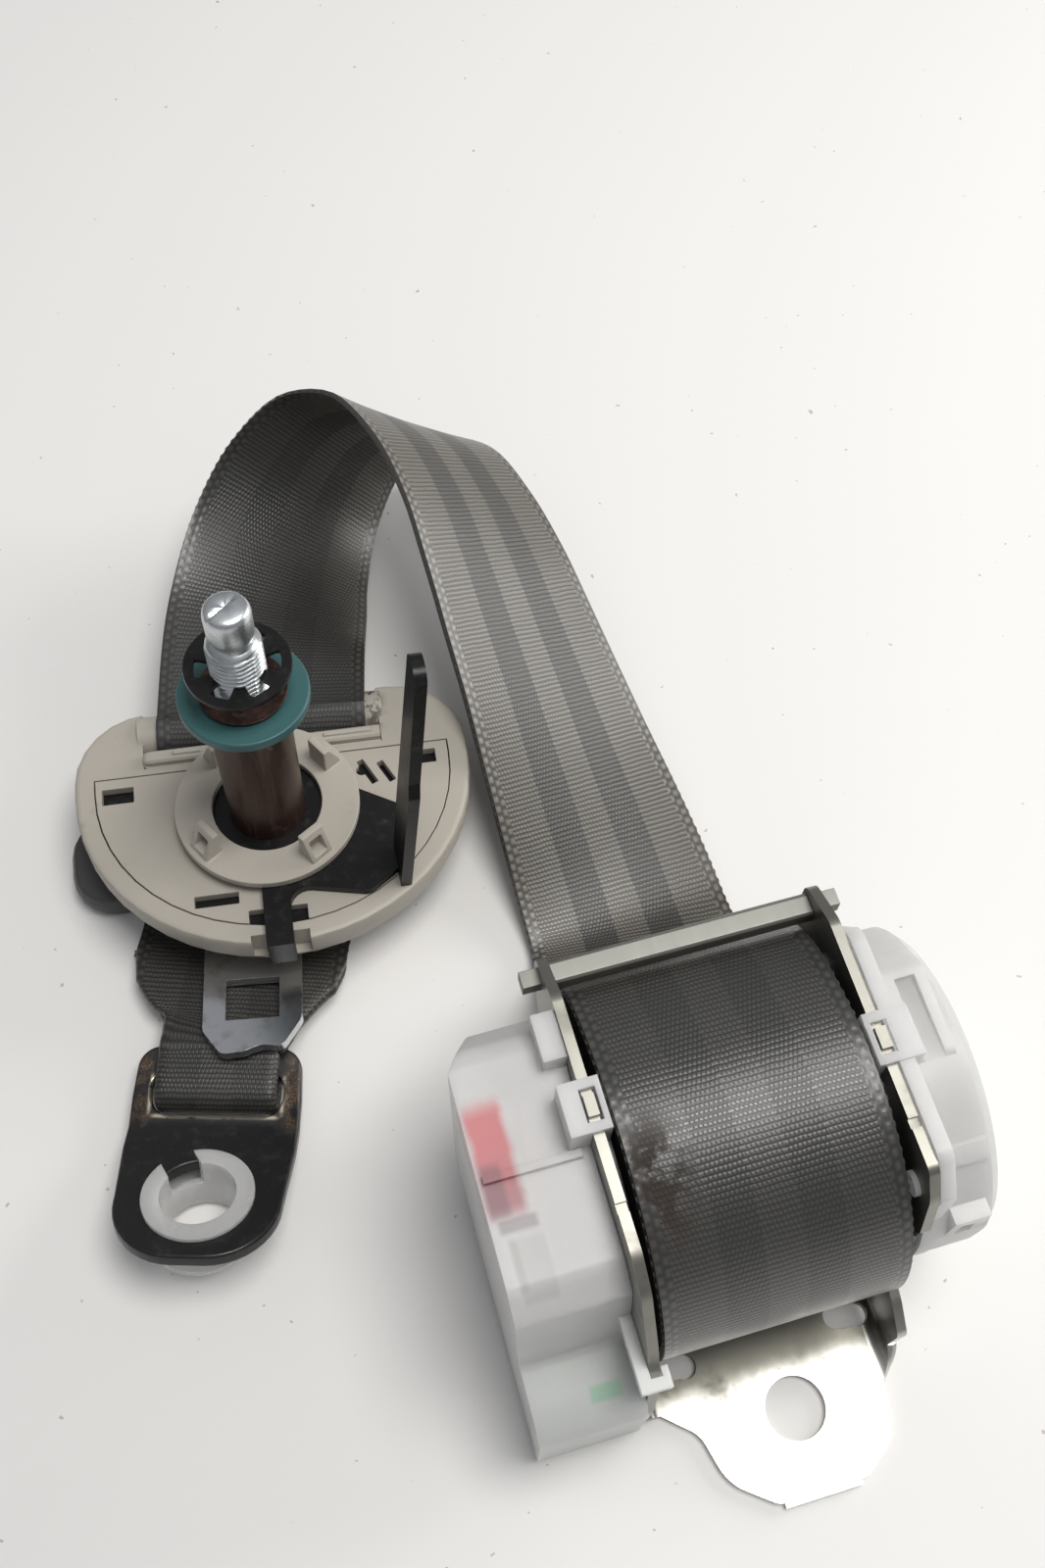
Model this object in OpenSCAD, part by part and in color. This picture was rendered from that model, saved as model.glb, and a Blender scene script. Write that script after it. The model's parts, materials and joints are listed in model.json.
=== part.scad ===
// Seat belt retractor with its webbing, pillar guide, tongue and lower anchor, in millimetres.
// X runs along the spool, Y from the bolt tab to the tie bar, Z up from the back plate.
// The origin is the centre of the bolt hole on the underside of the tab.

/* [Webbing] */
// Width of the webbing
belt_w = 47; // [46:0.5:48]
// Thickness of the webbing
belt_t = 1.2; // [1:0.1:1.3]
// Outside radius of the webbing wound on the spool
roll_r = 35.7; // [34.5:0.1:35.8]

/* [Frame] */
// Sheet thickness of the frame
frame_t = 2; // [1.8:0.1:2.2]
// Space between the wound webbing and each side plate
side_gap = 2; // [1.8:0.1:2.4]
// Diameter of the bolt hole in the tab
bolt_hole_d = 12.4; // [11.6:0.1:13]
// Height of the side plates
plate_top = 73; // [72:0.5:74]
// Outside radius of the bends
bend_r = 5; // [4:0.5:6]
// Edge of the tie bar along Y
tie_depth = 4.6; // [4:0.1:5]
// Height of the tie bar
tie_height = 4; // [3.6:0.1:4.2]
// Length of each tie bar end outside its plate
tie_end = 3.6; // [2.5:0.1:4.5]

/* [Spool] */
// Radius of the spool core
core_r = 14; // [12:0.5:16]
// Radius of the spool flanges
flange_r = 24; // [20:1:30]
// Thickness of the spool flanges
flange_t = 1; // [0.8:0.1:1.2]
// Radius of the torsion bar
shaft_r = 5; // [4.5:0.1:5.5]
// Outside radius of the bearing bushes
bush_r = 9; // [8:0.5:10]

/* [Lock and sensor] */
// Number of teeth on the ratchet wheel
ratchet_teeth = 12;
// Tip radius of the ratchet wheel
ratchet_r = 19; // [18.5:0.1:19.2]
// Depth of the ratchet teeth
ratchet_depth = 3.5; // [3:0.1:4]
// Radius of the pawl pin
pawl_pin_r = 2.5; // [2:0.1:3]
// Tip radius of the lock disc
disc_r = 21; // [20.6:0.1:21.2]
// Radius of the sensor ball
ball_r = 5.5; // [5:0.1:5.8]

/* [Covers] */
// Wall thickness of both covers
cover_wall = 1.5; // [1.2:0.1:1.8]
// Depth of the sensor cover from its plate
sensor_depth = 21; // [20.5:0.5:22]
// Depth of the spring cover from its plate
spring_depth = 15.5; // [15:0.5:17]
// Outside radius of the spring housing
housing_r = 31; // [30:0.5:32]

/* [Pillar guide] */
// Half the width of the guide
guide_half = 44.4; // [44:0.1:46]
// Radius of the webbing bar
guide_bar_r = 5.2; // [5:0.1:5.4]
// Width of the webbing slot
guide_slot_w = 54; // [52:1:56]
// Outside radius of the spacer sleeve
sleeve_r = 8.35; // [8:0.05:8.6]
// Major radius of the bolt thread
thread_r = 5.55; // [5.2:0.05:5.9]
// Outside radius of the trim ring
ring_r = 20.3; // [19:0.1:21]
// Radius of the hole in the trim ring
ring_hole_r = 12; // [11:0.1:12.5]
// Height of the stop finger
finger_h = 74; // [50:1:76]

/* [Tongue] */
// Width of the steel blade
blade_w = 21.4; // [20:0.1:22]
// Thickness of the steel blade
blade_t = 2.6; // [2.2:0.1:2.8]
// Width of the moulded grip
grip_w = 85; // [83:1:86]

/* [Lower anchor] */
// Thickness of the anchor plate
anchor_t = 3.2; // [3:0.1:3.4]
// Half the width of the anchor plate at its bolt hole
anchor_half = 17.2; // [16.8:0.1:18]
// Width of the slot in the anchor plate
anchor_slot_w = 28.4; // [28:0.2:30]
// Angle between the two leaves of the anchor plate
anchor_bend = 27; // [22:1:30]

/* [Fits] */
// Radial clearance of a running shaft
run_fit = 0.05; // [0.03:0.01:0.08]
// Gap between pieces that sit against each other
seat = 0.3; // [0.2:0.05:0.4]

/* [Hidden] */
$fn = 64;

// Retractor positions
middle_x = -4;
axis_y = 48.3;
axis_z = 38.5;
roll_x0 = middle_x - belt_w/2;
roll_x1 = middle_x + belt_w/2;
left_in = roll_x0 - side_gap;
left_out = left_in - frame_t;
right_in = roll_x1 + side_gap;
right_out = right_in + frame_t;
left_bend_x = left_out + bend_r;
right_bend_x = right_out - bend_r;
tie_y = 77.4;
tie_z = 62.6;
tie_stub = 3.4;
ratchet_x0 = left_out - 5.5;
ratchet_x1 = left_out - 2;
disc_x0 = left_out - 12.5;
disc_x1 = left_out - 8.5;
shaft_x0 = disc_x0 - 2.5;
shaft_x1 = right_out + spring_depth - cover_wall - 1;
pawl_at = [24, 20];
clip_left_y = 52;
clip_right_y = 49.5;
clip_len = 9.6;
sensor_x = (disc_x0 + disc_x1)/2;
sensor_y = 15.7;
cup_top = 9;
seat_r = 3.5;
ball_z = cup_top + sqrt(ball_r*ball_r - seat_r*seat_r) + 0.05;
lever_pivot = [8.8, 21.4];
lever_pin_r = 1.2;
sensor_x0 = left_out - sensor_depth;
spring_x1 = right_out + spring_depth;

// Pillar guide position: local z is the bolt axis, local y points at the webbing bar
guide_at = [-73, 148.5, 27];
guide_turn = [-4.5, 1.5, -7];
bar_y = 25.8;
bar_h = -8;
ring_t = 2;
stop_t = 1.9;
stop_top = -ring_t - 0.1;
back_top = stop_top - stop_t - 0.2;
back_t = 2.3;
loop_top = back_top - back_t - 0.1;
loop_t = 2.7;
shell_floor = loop_top - loop_t - 0.1;
shell_low = -15.4;
stop_half = 2.9;
washer_h = 40.5;
sleeve_top = 44;
thread_top = 60;
bolt_top = 70;
clip_h = 51;
clip_t = 0.9;
clip_collar = 1;
groove_r = thread_r - 0.4;

// Tongue position
tongue_at = [-79, 147.5, 0];
tongue_turn = -11;
blade_z = 5.9;
blade_rise = 10.5;

// Lower anchor position: local y runs from the bend to the slot
anchor_at = [-100.4, 86.5, 7];
anchor_turn = -17;
anchor_hole_y = -18.6;
anchor_wide = 18.1;
bush_hole_r = 9.3;
bush_bore_r = 7.8;
anchor_bar_y = 14.6;
anchor_bar_half = 3.15;
anchor_slot_y = 2.3;

// Webbing folded under at the anchor
fold_r = 1;
fold_in = 11.8;
wrap_r = roll_r + seat + belt_t/2;
bar_wrap = guide_bar_r + seat + 0.35 + belt_t/2;
slot_end = anchor_bar_y + anchor_bar_half;
loop_high = anchor_t/2 + seat + 2*fold_r + belt_t/2;
loop_end = anchor_slot_y + 2;

// Colours
zinc = [0.78, 0.77, 0.72];
steel = [0.6, 0.61, 0.63];
milky = [0.86, 0.87, 0.85];
grey_plastic = [0.72, 0.7, 0.66];
black_paint = [0.08, 0.08, 0.09];
fabric = [0.2, 0.21, 0.22];
red_plastic = [0.8, 0.15, 0.15];
green_plastic = [0.45, 0.75, 0.5];

// Helpers for outlines
function flat(p) = [p[0], p[1]];
function unit(v) = v/norm(v);
function arc_corner(a, b, c, r, n) =
    let(u = unit(a - b), v = unit(c - b), half = acos(max(-1, min(1, u*v)))/2,
        centre = b + unit(u + v)*r/sin(half), p = b + u*r/tan(half) - centre,
        q = b + v*r/tan(half) - centre, a0 = atan2(p[1], p[0]),
        turn = (atan2(q[1], q[0]) - a0 + 900)%360 - 180)
    [for (i = [0:n]) centre + r*[cos(a0 + turn*i/n), sin(a0 + turn*i/n)]];
function rounded(p, n = 6) = [for (i = [0:len(p) - 1])
    let(a = p[(i + len(p) - 1)%len(p)], b = p[i], c = p[(i + 1)%len(p)])
    each (b[2] > 0 ? arc_corner(flat(a), flat(b), flat(c), b[2], n) : [flat(b)])];
function side_of(a, b) = let(v = b - a) [-v[1], v[0]]/norm(v);
function inset(p, d) = [for (i = [0:len(p) - 1])
    let(a = flat(p[(i + len(p) - 1)%len(p)]), b = flat(p[i]), c = flat(p[(i + 1)%len(p)]),
        m = side_of(a, b), n = side_of(b, c), q = b + d*(m + n)/(1 + m*n))
    [q[0], q[1], max(p[i][2] - d, 0.4)]];

module along_x(x0, x1) {
    translate([x0, 0, 0])
        rotate([90, 0, 90])
            linear_extrude(x1 - x0)
                children();
}

module rod_x(x0, x1, r, y, z) {
    translate([x0, y, z])
        rotate([0, 90, 0])
            cylinder(r = r, h = x1 - x0);
}

module on_axis(x0, x1, r) {
    rod_x(x0, x1, r, axis_y, axis_z);
}

module box(a, b) {
    translate(a)
        cube(b - a);
}

// Skin over rings with the same number of points, each clockwise seen from the last ring
module skin(rings) {
    n = len(rings[0]);
    m = len(rings);
    sides = [for (i = [0:m - 2], j = [0:n - 1])
        each [[i*n + j, i*n + (j + 1)%n, (i + 1)*n + (j + 1)%n],
              [i*n + j, (i + 1)*n + (j + 1)%n, (i + 1)*n + j]]];
    first = [for (j = [n - 1:-1:0]) j];
    last = [for (j = [0:n - 1]) (m - 1)*n + j];
    polyhedron([for (r = rings) each r], concat([first], sides, [last]));
}

// Places on the spring housing, as shares of its radius from the spool axis
function at_housing(y, z, r) = [axis_y + housing_r*y, axis_z + housing_r*z, r];
stud_at = [at_housing(-0.72, 0.79, 0), at_housing(0.668, 0.694, 0)];

// Frame: back plate with bolt tab, two bends, two side plates
tab_outline = [[left_bend_x, 66, 0], [left_bend_x, 6, 0], [-20, 0.5, 6], [-17.5, -9.5, 10],
    [-9, -15.8, 4], [-8, -15.8, 0], [-8, -16.8, 0], [8, -16.8, 0], [8, -15.8, 0],
    [9.5, -15.8, 4], [17.5, -10, 9], [right_bend_x, -1, 7], [right_bend_x, 66, 0]];
plate_far = [[6, bend_r, 0], [66, bend_r, 0], [74, 22, 20], [80, 50, 10], [82.9, 58, 3],
    [82.6, 68, 3], [73, plate_top, 5]];
left_outline = concat(plate_far, [[26, plate_top, 5], [20, 69, 8], [13, 56, 14], [8, 42, 20],
    [6, 20, 10]]);
right_outline = concat(plate_far, [[25.5, plate_top, 2.5], [21.5, 67, 6], [18.5, 54, 2],
    [27, 42, 6], [27, 26, 6], [12, 20, 5], [6, 15, 3]]);

module bend(x, dir) {
    intersection() {
        translate([x, 6, bend_r])
            rotate([-90, 0, 0])
                difference() {
                    cylinder(r = bend_r, h = 60);
                    translate([0, 0, -1])
                        cylinder(r = bend_r - frame_t, h = 62);
                }
        box([min(x, x + dir*20), 0, -1], [max(x, x + dir*20), 70, bend_r]);
    }
}

module side_plate(x0, x1, bump_y, outline) {
    along_x(x0, x1)
        polygon(rounded(outline));
    box([x0, bump_y - 2, plate_top - 1], [x1, bump_y + 2, plate_top + 1.4]);
}

module frame() color(zinc) difference() {
    union() {
        linear_extrude(frame_t)
            polygon(rounded(tab_outline));
        bend(left_bend_x, -1);
        bend(right_bend_x, 1);
        side_plate(left_out, left_in, clip_left_y, left_outline);
        side_plate(right_in, right_out, clip_right_y, right_outline);
    }
    translate([0, 0, -1])
        cylinder(d = bolt_hole_d, h = frame_t + 2);
    on_axis(left_out - 1, left_in + 1, bush_r);
    on_axis(right_in - 1, right_out + 1, bush_r);
    rod_x(left_out - 1, left_in + 1, pawl_pin_r, pawl_at[0], pawl_at[1]);
    stub_box(left_out - 1, left_in + 1);
    stub_box(right_in - 1, right_out + 1);
    for (x = [left_bend_x + 6.5, right_bend_x - 1.5])
        for (k = [-2, 2])
            translate([x - 1 + k, 14 - k*0.2, -1])
                cylinder(r = 2.5, h = frame_t + 2);
    for (x = [left_bend_x + 5.5, right_bend_x - 2.5])
        box([x - 2, 11.6, -1], [x + 2, 16.4, frame_t + 1]);
    for (x = [left_out - 1, right_in - 1])
        box([x, 33.2, plate_top - 0.7], [x + frame_t + 2, 35, plate_top + 1]);
    for (q = stud_at)
        rod_x(right_in - 1, right_out + 1, 2.4, q[0], q[1]);
    rod_x(left_out - 1, left_in + 1, 2.4, 66, 56);
}

// Tie bar with square ends through both plates
module stub_box(x0, x1) {
    m = (tie_depth - tie_stub)/2;
    box([x0, tie_y + m, tie_z + 0.3], [x1, tie_y + m + tie_stub, tie_z + 0.3 + tie_stub]);
}

module tie_bar() color(zinc) union() {
    along_x(left_in, right_in)
        polygon([[tie_y, tie_z], [tie_y + tie_depth, tie_z],
                 [tie_y + tie_depth, tie_z + tie_height - 0.8],
                 [tie_y + tie_depth - 0.8, tie_z + tie_height],
                 [tie_y + 0.5, tie_z + tie_height], [tie_y, tie_z + tie_height - 0.5]]);
    stub_box(left_out - tie_end, left_in + 0.1);
    stub_box(right_in - 0.1, right_out + tie_end);
}

// Bearing bushes pressed into the plates
module bush(x0, x1, lip0, lip1) {
    difference() {
        union() {
            on_axis(x0, x1, bush_r);
            on_axis(lip0, lip1, bush_r + 2);
        }
        on_axis(x0 - 5, x1 + 5, shaft_r + run_fit);
    }
}

module bush_left() color(milky) bush(left_out, left_in, left_out - 0.9, left_out);

module bush_right() color(milky) bush(right_in, right_out, right_out, right_out + 0.9);

// Spool, torsion bar and the webbing wound on the spool
module spool() color(steel) difference() {
    union() {
        on_axis(roll_x0 - flange_t, roll_x1 + flange_t, core_r);
        on_axis(roll_x0 - flange_t, roll_x0, flange_r);
        on_axis(roll_x1, roll_x1 + flange_t, flange_r);
    }
    on_axis(roll_x0 - 5, roll_x1 + 5, shaft_r);
}

module torsion_bar() color(steel) on_axis(shaft_x0, shaft_x1, shaft_r);

module webbing_roll() color(fabric) difference() {
    on_axis(roll_x0, roll_x1, roll_r);
    on_axis(roll_x0 - 1, roll_x1 + 1, core_r);
}

// Ratchet wheel and its pawl
module ratchet_wheel() color(steel) difference() {
    along_x(ratchet_x0, ratchet_x1)
        polygon([for (k = [0:ratchet_teeth - 1])
            let(a = (k + 0.5)*360/ratchet_teeth, low = ratchet_r - ratchet_depth)
            each [for (q = [[low, a - 6], [ratchet_r, a - 3], [ratchet_r, a + 2], [low, a + 4.5]])
                [axis_y + q[0]*cos(q[1]), axis_z + q[0]*sin(q[1])]]]);
    on_axis(ratchet_x0 - 1, ratchet_x1 + 1, shaft_r);
}

module lock_pawl() color(steel) difference() {
    union() {
        rod_x(ratchet_x0 + 0.2, ratchet_x1 - 0.2, 4.6, pawl_at[0], pawl_at[1]);
        along_x(ratchet_x0 + 0.2, ratchet_x1 - 0.2)
            polygon([[pawl_at[0] - 3.6, pawl_at[1]], [pawl_at[0] + 3.8, pawl_at[1]],
                     [pawl_at[0] + 3.4, pawl_at[1] + 12], [pawl_at[0] + 4, pawl_at[1] + 16.8],
                     [pawl_at[0] + 4.6, pawl_at[1] + 19.5], [pawl_at[0] + 1.5, pawl_at[1] + 19.8],
                     [pawl_at[0] - 0.8, pawl_at[1] + 16]]);
    }
    rod_x(ratchet_x0 - 1, ratchet_x1 + 1, pawl_pin_r + run_fit, pawl_at[0], pawl_at[1]);
}

module pawl_pin() color(steel) union() {
    rod_x(ratchet_x0 - 0.3, left_in, pawl_pin_r, pawl_at[0], pawl_at[1]);
    rod_x(ratchet_x0 - 1.3, ratchet_x0 - 0.3, pawl_pin_r + 1.2, pawl_at[0], pawl_at[1]);
    rod_x(ratchet_x1 + 0.3, left_out, pawl_pin_r + 1.2, pawl_at[0], pawl_at[1]);
}

// Lock disc with fine teeth for the sensor lever
module lock_disc() color(red_plastic) difference() {
    along_x(disc_x0, disc_x1)
        polygon([for (k = [0:35])
            let(a = 10*k + 5, low = disc_r - 1.8)
            each [for (q = [[low, a - 3], [disc_r, a - 1], [disc_r, a + 0.5], [low, a + 2]])
                [axis_y + q[0]*cos(q[1]), axis_z + q[0]*sin(q[1])]]]);
    on_axis(disc_x0 - 1, disc_x1 + 1, shaft_r + run_fit);
    difference() {
        on_axis(disc_x0 - 1, disc_x0 + 2, disc_r - 4);
        on_axis(disc_x0 - 1, disc_x0 + 2, shaft_r + 3);
    }
}

// Vehicle sensor: cup, ball and lever
module sensor_cup() color(green_plastic) difference() {
    union() {
        box([sensor_x - 8, sensor_y - 9, 2.1 + seat], [sensor_x + 8, sensor_y + 7.5, cup_top]);
        translate([sensor_x, sensor_y, cup_top - 1])
            cylinder(r = ball_r + 2.4, h = 5);
        for (x = [sensor_x - 3.8, sensor_x + 2.4]) {
            rod_x(x, x + 1.4, 2.2, lever_pivot[0], lever_pivot[1]);
            box([x, lever_pivot[0] - 1.6, cup_top - 1], [x + 1.4, lever_pivot[0] + 2.2, lever_pivot[1]]);
        }
    }
    translate([sensor_x, sensor_y, cup_top])
        cylinder(r = ball_r + 1.1, h = 30);
    translate([sensor_x, sensor_y, 4.5])
        cylinder(r = seat_r, h = 10);
    rod_x(sensor_x - 9, sensor_x + 9, lever_pin_r + run_fit, lever_pivot[0], lever_pivot[1]);
}

module sensor_ball() color(steel)
    translate([sensor_x, sensor_y, ball_z])
        rotate_extrude()
            intersection() {
                circle(r = ball_r);
                translate([0, -ball_r])
                    square([ball_r, 2*ball_r]);
            }

module sensor_lever() color(green_plastic) union() {
    rod_x(sensor_x - 3.8, sensor_x + 3.8, lever_pin_r, lever_pivot[0], lever_pivot[1]);
    along_x(sensor_x - 1.9, sensor_x + 1.9)
        polygon([[lever_pivot[0] - 1.9, lever_pivot[1] - 1.4], [sensor_y, ball_z + ball_r + 0.06],
                 [sensor_y + 8, ball_z + ball_r - 1], [41.6, 13.2], [42, 17.9], [40.6, 18.1],
                 [40, 15.6], [sensor_y + 9, ball_z + ball_r + 1.2],
                 [lever_pivot[0] + 2, lever_pivot[1] + 1.6], [lever_pivot[0] - 1.9, lever_pivot[1] + 1.4]]);
}

// Sensor cover: open towards the plate, with a saddle clip over the plate's top edge
cover_outline = [[4.7, 0.6, 2], [24, 0.6, 2], [64, 3, 6], [75, 30, 8], [75, 58, 7], [69, 67, 5],
    [27, 65, 4], [22, 61, 3], [18.5, 37, 2], [4.7, 34, 9]];
module cover_block(d, x1) {
    intersection() {
        along_x(sensor_x0 + d, x1)
            polygon(rounded(inset(cover_outline, d)));
        translate([0, 0, -10])
            linear_extrude(100)
                polygon([[x1, -10], [x1, 75 - d], [sensor_x0 + 6 + d*0.5, 75 - d],
                         [sensor_x0 + d, 66 - d*0.6], [sensor_x0 + d, -10]]);
    }
}

module saddle(x_plate0, x_plate1, x_far, y, inner) {
    x0 = min(inner, x_far);
    x1 = max(inner, x_far);
    difference() {
        box([x0, y - clip_len/2, plate_top - 7], [x1, y + clip_len/2, plate_top + 1.6]);
        box([x_plate0 - 0.1, y - 10, plate_top - 9], [x_plate1 + 0.1, y + 10, plate_top + 0.1]);
        box([x_plate0 - 0.5, y - 3, plate_top - 1], [x_plate1 + 0.5, y + 3, plate_top + 3]);
    }
}

module sensor_cover() color(milky) union() {
    difference() {
        cover_block(0, left_out - 0.1);
        cover_block(cover_wall, left_out + 5);
    }
    box([sensor_x0 + 1, 45.5, 65.4], [left_out - 2, 47, 67.4]);
    saddle(left_out, left_in, left_out - 4, clip_left_y, left_in + 1.55);
    box([left_out - 4, clip_left_y - clip_len/2, 64.5],
        [left_out - 0.1, clip_left_y + clip_len/2, plate_top - 6]);
    box([left_out - 4.5, 62, 64], [left_out - 0.1, 71, plate_top - 1]);
    rod_x(sensor_x0 + 1, left_in + 0.9, 2.3, 66, 56);
    difference() {
        union() {
            box([left_out - 2.4, 9, 46.8], [left_out - 0.1, 21, 49.6]);
            box([left_out - 2.4, 6.8, 46.8], [left_in + 1.4, 10.6, 49.6]);
        }
        box([left_out - 0.1, 9, 40], [left_in + 0.1, 30, 60]);
    }
}

// Flat spiral return spring, arbor and spring cover
spring_turns = 9;
spring_in = shaft_r + 2.8;
spring_out = housing_r - cover_wall - 0.4;
spring_strip = 0.6;
function spiral(a, off) = let(r = spring_in + (spring_out - spring_in)*a/(360*spring_turns) + off)
    [axis_y + r*cos(a), axis_z + r*sin(a)];

module power_spring() color(steel)
    along_x(right_out + 3, right_out + spring_depth - cover_wall - 2)
        polygon(concat([for (a = [0:15:360*spring_turns]) spiral(a, 0)],
                       [for (a = [360*spring_turns:-15:0]) spiral(a, -spring_strip)]));

module spring_arbor() color(milky) difference() {
    on_axis(right_out + 1.4, shaft_x1 - 0.5, shaft_r + 2);
    on_axis(right_out, shaft_x1 + 1, shaft_r);
}

rim_outline = [[19, 30, 5], [30, 6, 10], [64, 6, 8], [76, 28, 10], [77, 58, 6], [70, 74, 4],
    [27, 74, 3], [21, 66, 4]];
corner_outline = [at_housing(-0.14, 0.63, 0), at_housing(0.57, 0.436, 2), at_housing(0.603, 0.887, 3),
    at_housing(0.442, 1.036, 3), at_housing(-0.14, 1.016, 2)];
rib_outline = [at_housing(-0.642, 0.71, 0), at_housing(-0.558, 0.79, 0), at_housing(-0.603, 0.855, 0),
    at_housing(-0.7, 0.758, 0)];
housing_near = axis_y - housing_r;
housing_top = axis_z + housing_r;

module spring_cover() color(milky) union() {
    difference() {
        union() {
            along_x(right_out + 0.1, right_out + 3)
                polygon(rounded(rim_outline));
            on_axis(right_out + 0.1, spring_x1 - 2, housing_r);
            translate([spring_x1 - 2, axis_y, axis_z])
                rotate([0, 90, 0])
                    cylinder(r1 = housing_r, r2 = housing_r - 2, h = 2);
            along_x(right_out + 0.1, spring_x1 - 3.5)
                polygon(rounded(corner_outline));
            box([right_out + 5, housing_near + 0.9, 40], [right_out + 12, housing_near + 8.7, 54]);
        }
        on_axis(right_out - 1, spring_x1 - cover_wall, housing_r - cover_wall);
        along_x(right_out - 1, spring_x1 - 5)
            polygon(rounded(inset(corner_outline, cover_wall)));
        box([right_out + 6, 44, housing_top - 0.2], [spring_x1 - 5.5, 60, housing_top + 3.5]);
        box([right_out + 7, housing_near - 0.3, 44.5], [right_out + 10, housing_near + 2.1, 50]);
        box([right_out + 3.2, 0, 0], [spring_x1 + 1, housing_near + 0.7, 90]);
    }
    on_axis(spring_x1 - cover_wall - 0.2, spring_x1 + 0.8, 9);
    along_x(right_out + 3, spring_x1 - 2.5)
        polygon(rounded(rib_outline));
    saddle(right_in, right_out, right_out + 5, clip_right_y, right_in - 1.55);
    for (q = stud_at)
        rod_x(right_in - 0.9, right_out + 0.4, 2.3, q[0], q[1]);
}

// Route of the webbing: centre, width direction and fold, chosen by hand between the fixed ends
function turned(v, r) =
    let(a = [v[0], v[1]*cos(r[0]) - v[2]*sin(r[0]), v[1]*sin(r[0]) + v[2]*cos(r[0])],
        b = [a[0]*cos(r[1]) + a[2]*sin(r[1]), a[1], -a[0]*sin(r[1]) + a[2]*cos(r[1])])
    [b[0]*cos(r[2]) - b[1]*sin(r[2]), b[0]*sin(r[2]) + b[1]*cos(r[2]), b[2]];
function in_guide(p) = guide_at + turned(p, guide_turn);
function in_anchor(p) = anchor_at + turned(p, [0, 0, anchor_turn]);
guide_across = turned([1, 0, 0], guide_turn);
anchor_across = turned([1, 0, 0], [0, 0, anchor_turn]);
function roll_point(a) = [[middle_x, axis_y + wrap_r*cos(a), axis_z + wrap_r*sin(a)], [1, 0, 0], 0];
function bar_point(a, shift) = [in_guide([shift, bar_y + bar_wrap*cos(a), bar_h + bar_wrap*sin(a)]),
    guide_across, 0];
function loop_point(q) = [in_anchor([0, q[0], q[1]*loop_high - anchor_t/2]), anchor_across, 1];
loop_path = [[slot_end + 0.4, 1], [anchor_bar_y, 1], [8.6, 1], [5.6, 0.8], [loop_end, 0.3],
    [loop_end, -0.3], [5.6, -0.8], [8.6, -1], [anchor_bar_y, -1]];
route = concat(
    [for (a = [44, 36, 28, 20]) roll_point(a)],
    [[[-3.6, 86.6, 40], [1, 0, 0], 0],
     [[-3, 90.5, 29], [1, 0, 0], 0],
     [[-2, 94.8, 17.5], [1, -0.01, 0], 0],
     [[-1, 99.8, 8], [1, -0.02, 0], 0],
     [[-0.2, 108, 3], [1, 0, -0.04], 0],
     [[-0.5, 120, 4.4], [0.99, 0.06, -0.11], 0],
     [[-1.5, 135.5, 9], [0.96, 0.14, -0.24], 0],
     [[-2.8, 150.5, 14], [0.92, 0.19, -0.35], 0],
     [[-4.1, 165.5, 19.6], [0.87, 0.24, -0.43], 0],
     [[-5.6, 181, 25], [0.83, 0.26, -0.49], 0],
     [[-7.2, 196, 30.6], [0.79, 0.28, -0.55], 0],
     [[-9.5, 211.5, 35.2], [0.73, 0.29, -0.62], 0],
     [[-14, 227, 37.4], [0.68, 0.27, -0.68], 0],
     [[-22.5, 239, 34.4], [0.61, 0.17, -0.77], 0],
     [[-35, 242.4, 26.6], [0.6, -0.02, -0.8], 0],
     [[-46.5, 235, 19], [0.67, -0.22, -0.71], 0],
     [[-55, 222, 15.6], [0.78, -0.34, -0.52], 0],
     [[-60.8, 207.5, 16.4], [0.88, -0.36, -0.29], 0],
     [[-65, 193.5, 19.8], [0.95, -0.3, -0.1], 0]],
    [bar_point(66, 0.7), bar_point(100, 0.4), bar_point(135, 0.1), bar_point(165, -0.15),
     bar_point(190, -0.35)],
    [[[-72.1, 165.5, 11.8], [0.99, -0.135, -0.026], 0],
     [[-73.2, 162.8, 8.7], [0.982, -0.18, -0.02], 0],
     [[-74.8, 159.3, 7.8], [0.966, -0.25, -0.01], 0],
     [[-76.8, 154.4, 7.3], [0.962, -0.27, 0], 0],
     [[-78.5, 149.6, 5.1], [0.965, -0.26, 0], 0],
     [[-80.2, 144.4, 2.6], [0.966, -0.255, 0], 0],
     [[-82.2, 137.5, 1.7], [0.965, -0.26, 0], 0],
     [[-84.4, 130.5, 3], [0.96, -0.27, 0], 0],
     [[-86.8, 124, 5], [0.96, -0.28, 0], 0.03],
     [[-89.6, 116.5, 6.9], [0.956, -0.29, 0], 0.22],
     [[-92.4, 108.5, 8.9], [0.956, -0.292, 0], 0.8]],
    [for (q = loop_path) loop_point(q)],
    [[in_anchor([0, 24, 0.3 + belt_t/2 - 7]), anchor_across, 0.9],
     [in_anchor([0.4, 33, 0.3 + belt_t/2 - 7]), anchor_across, 0.4],
     [in_anchor([0.6, 41, 0.3 + belt_t/2 - 7]), anchor_across, 0.03]]);

route_steps = 2;
function at(i) = route[max(0, min(len(route) - 1, i))];
function blend(a, b, c, d, t) = 0.5*(2*b + (c - a)*t + (2*a - 5*b + 4*c - d)*t*t
    + (3*b - a - 3*c + d)*t*t*t);
function along(k, i, t) = blend(at(i - 1)[k], at(i)[k], at(i + 1)[k], at(i + 2)[k], t);
function straight(i, t) = at(i)[2]*(1 - t) + at(i + 1)[2]*t;
stations = concat([for (i = [0:len(route) - 2], k = [0:route_steps - 1])
    let(t = k/route_steps) [along(0, i, t), along(1, i, t), straight(i, t)]], [route[len(route) - 1]]);

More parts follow.
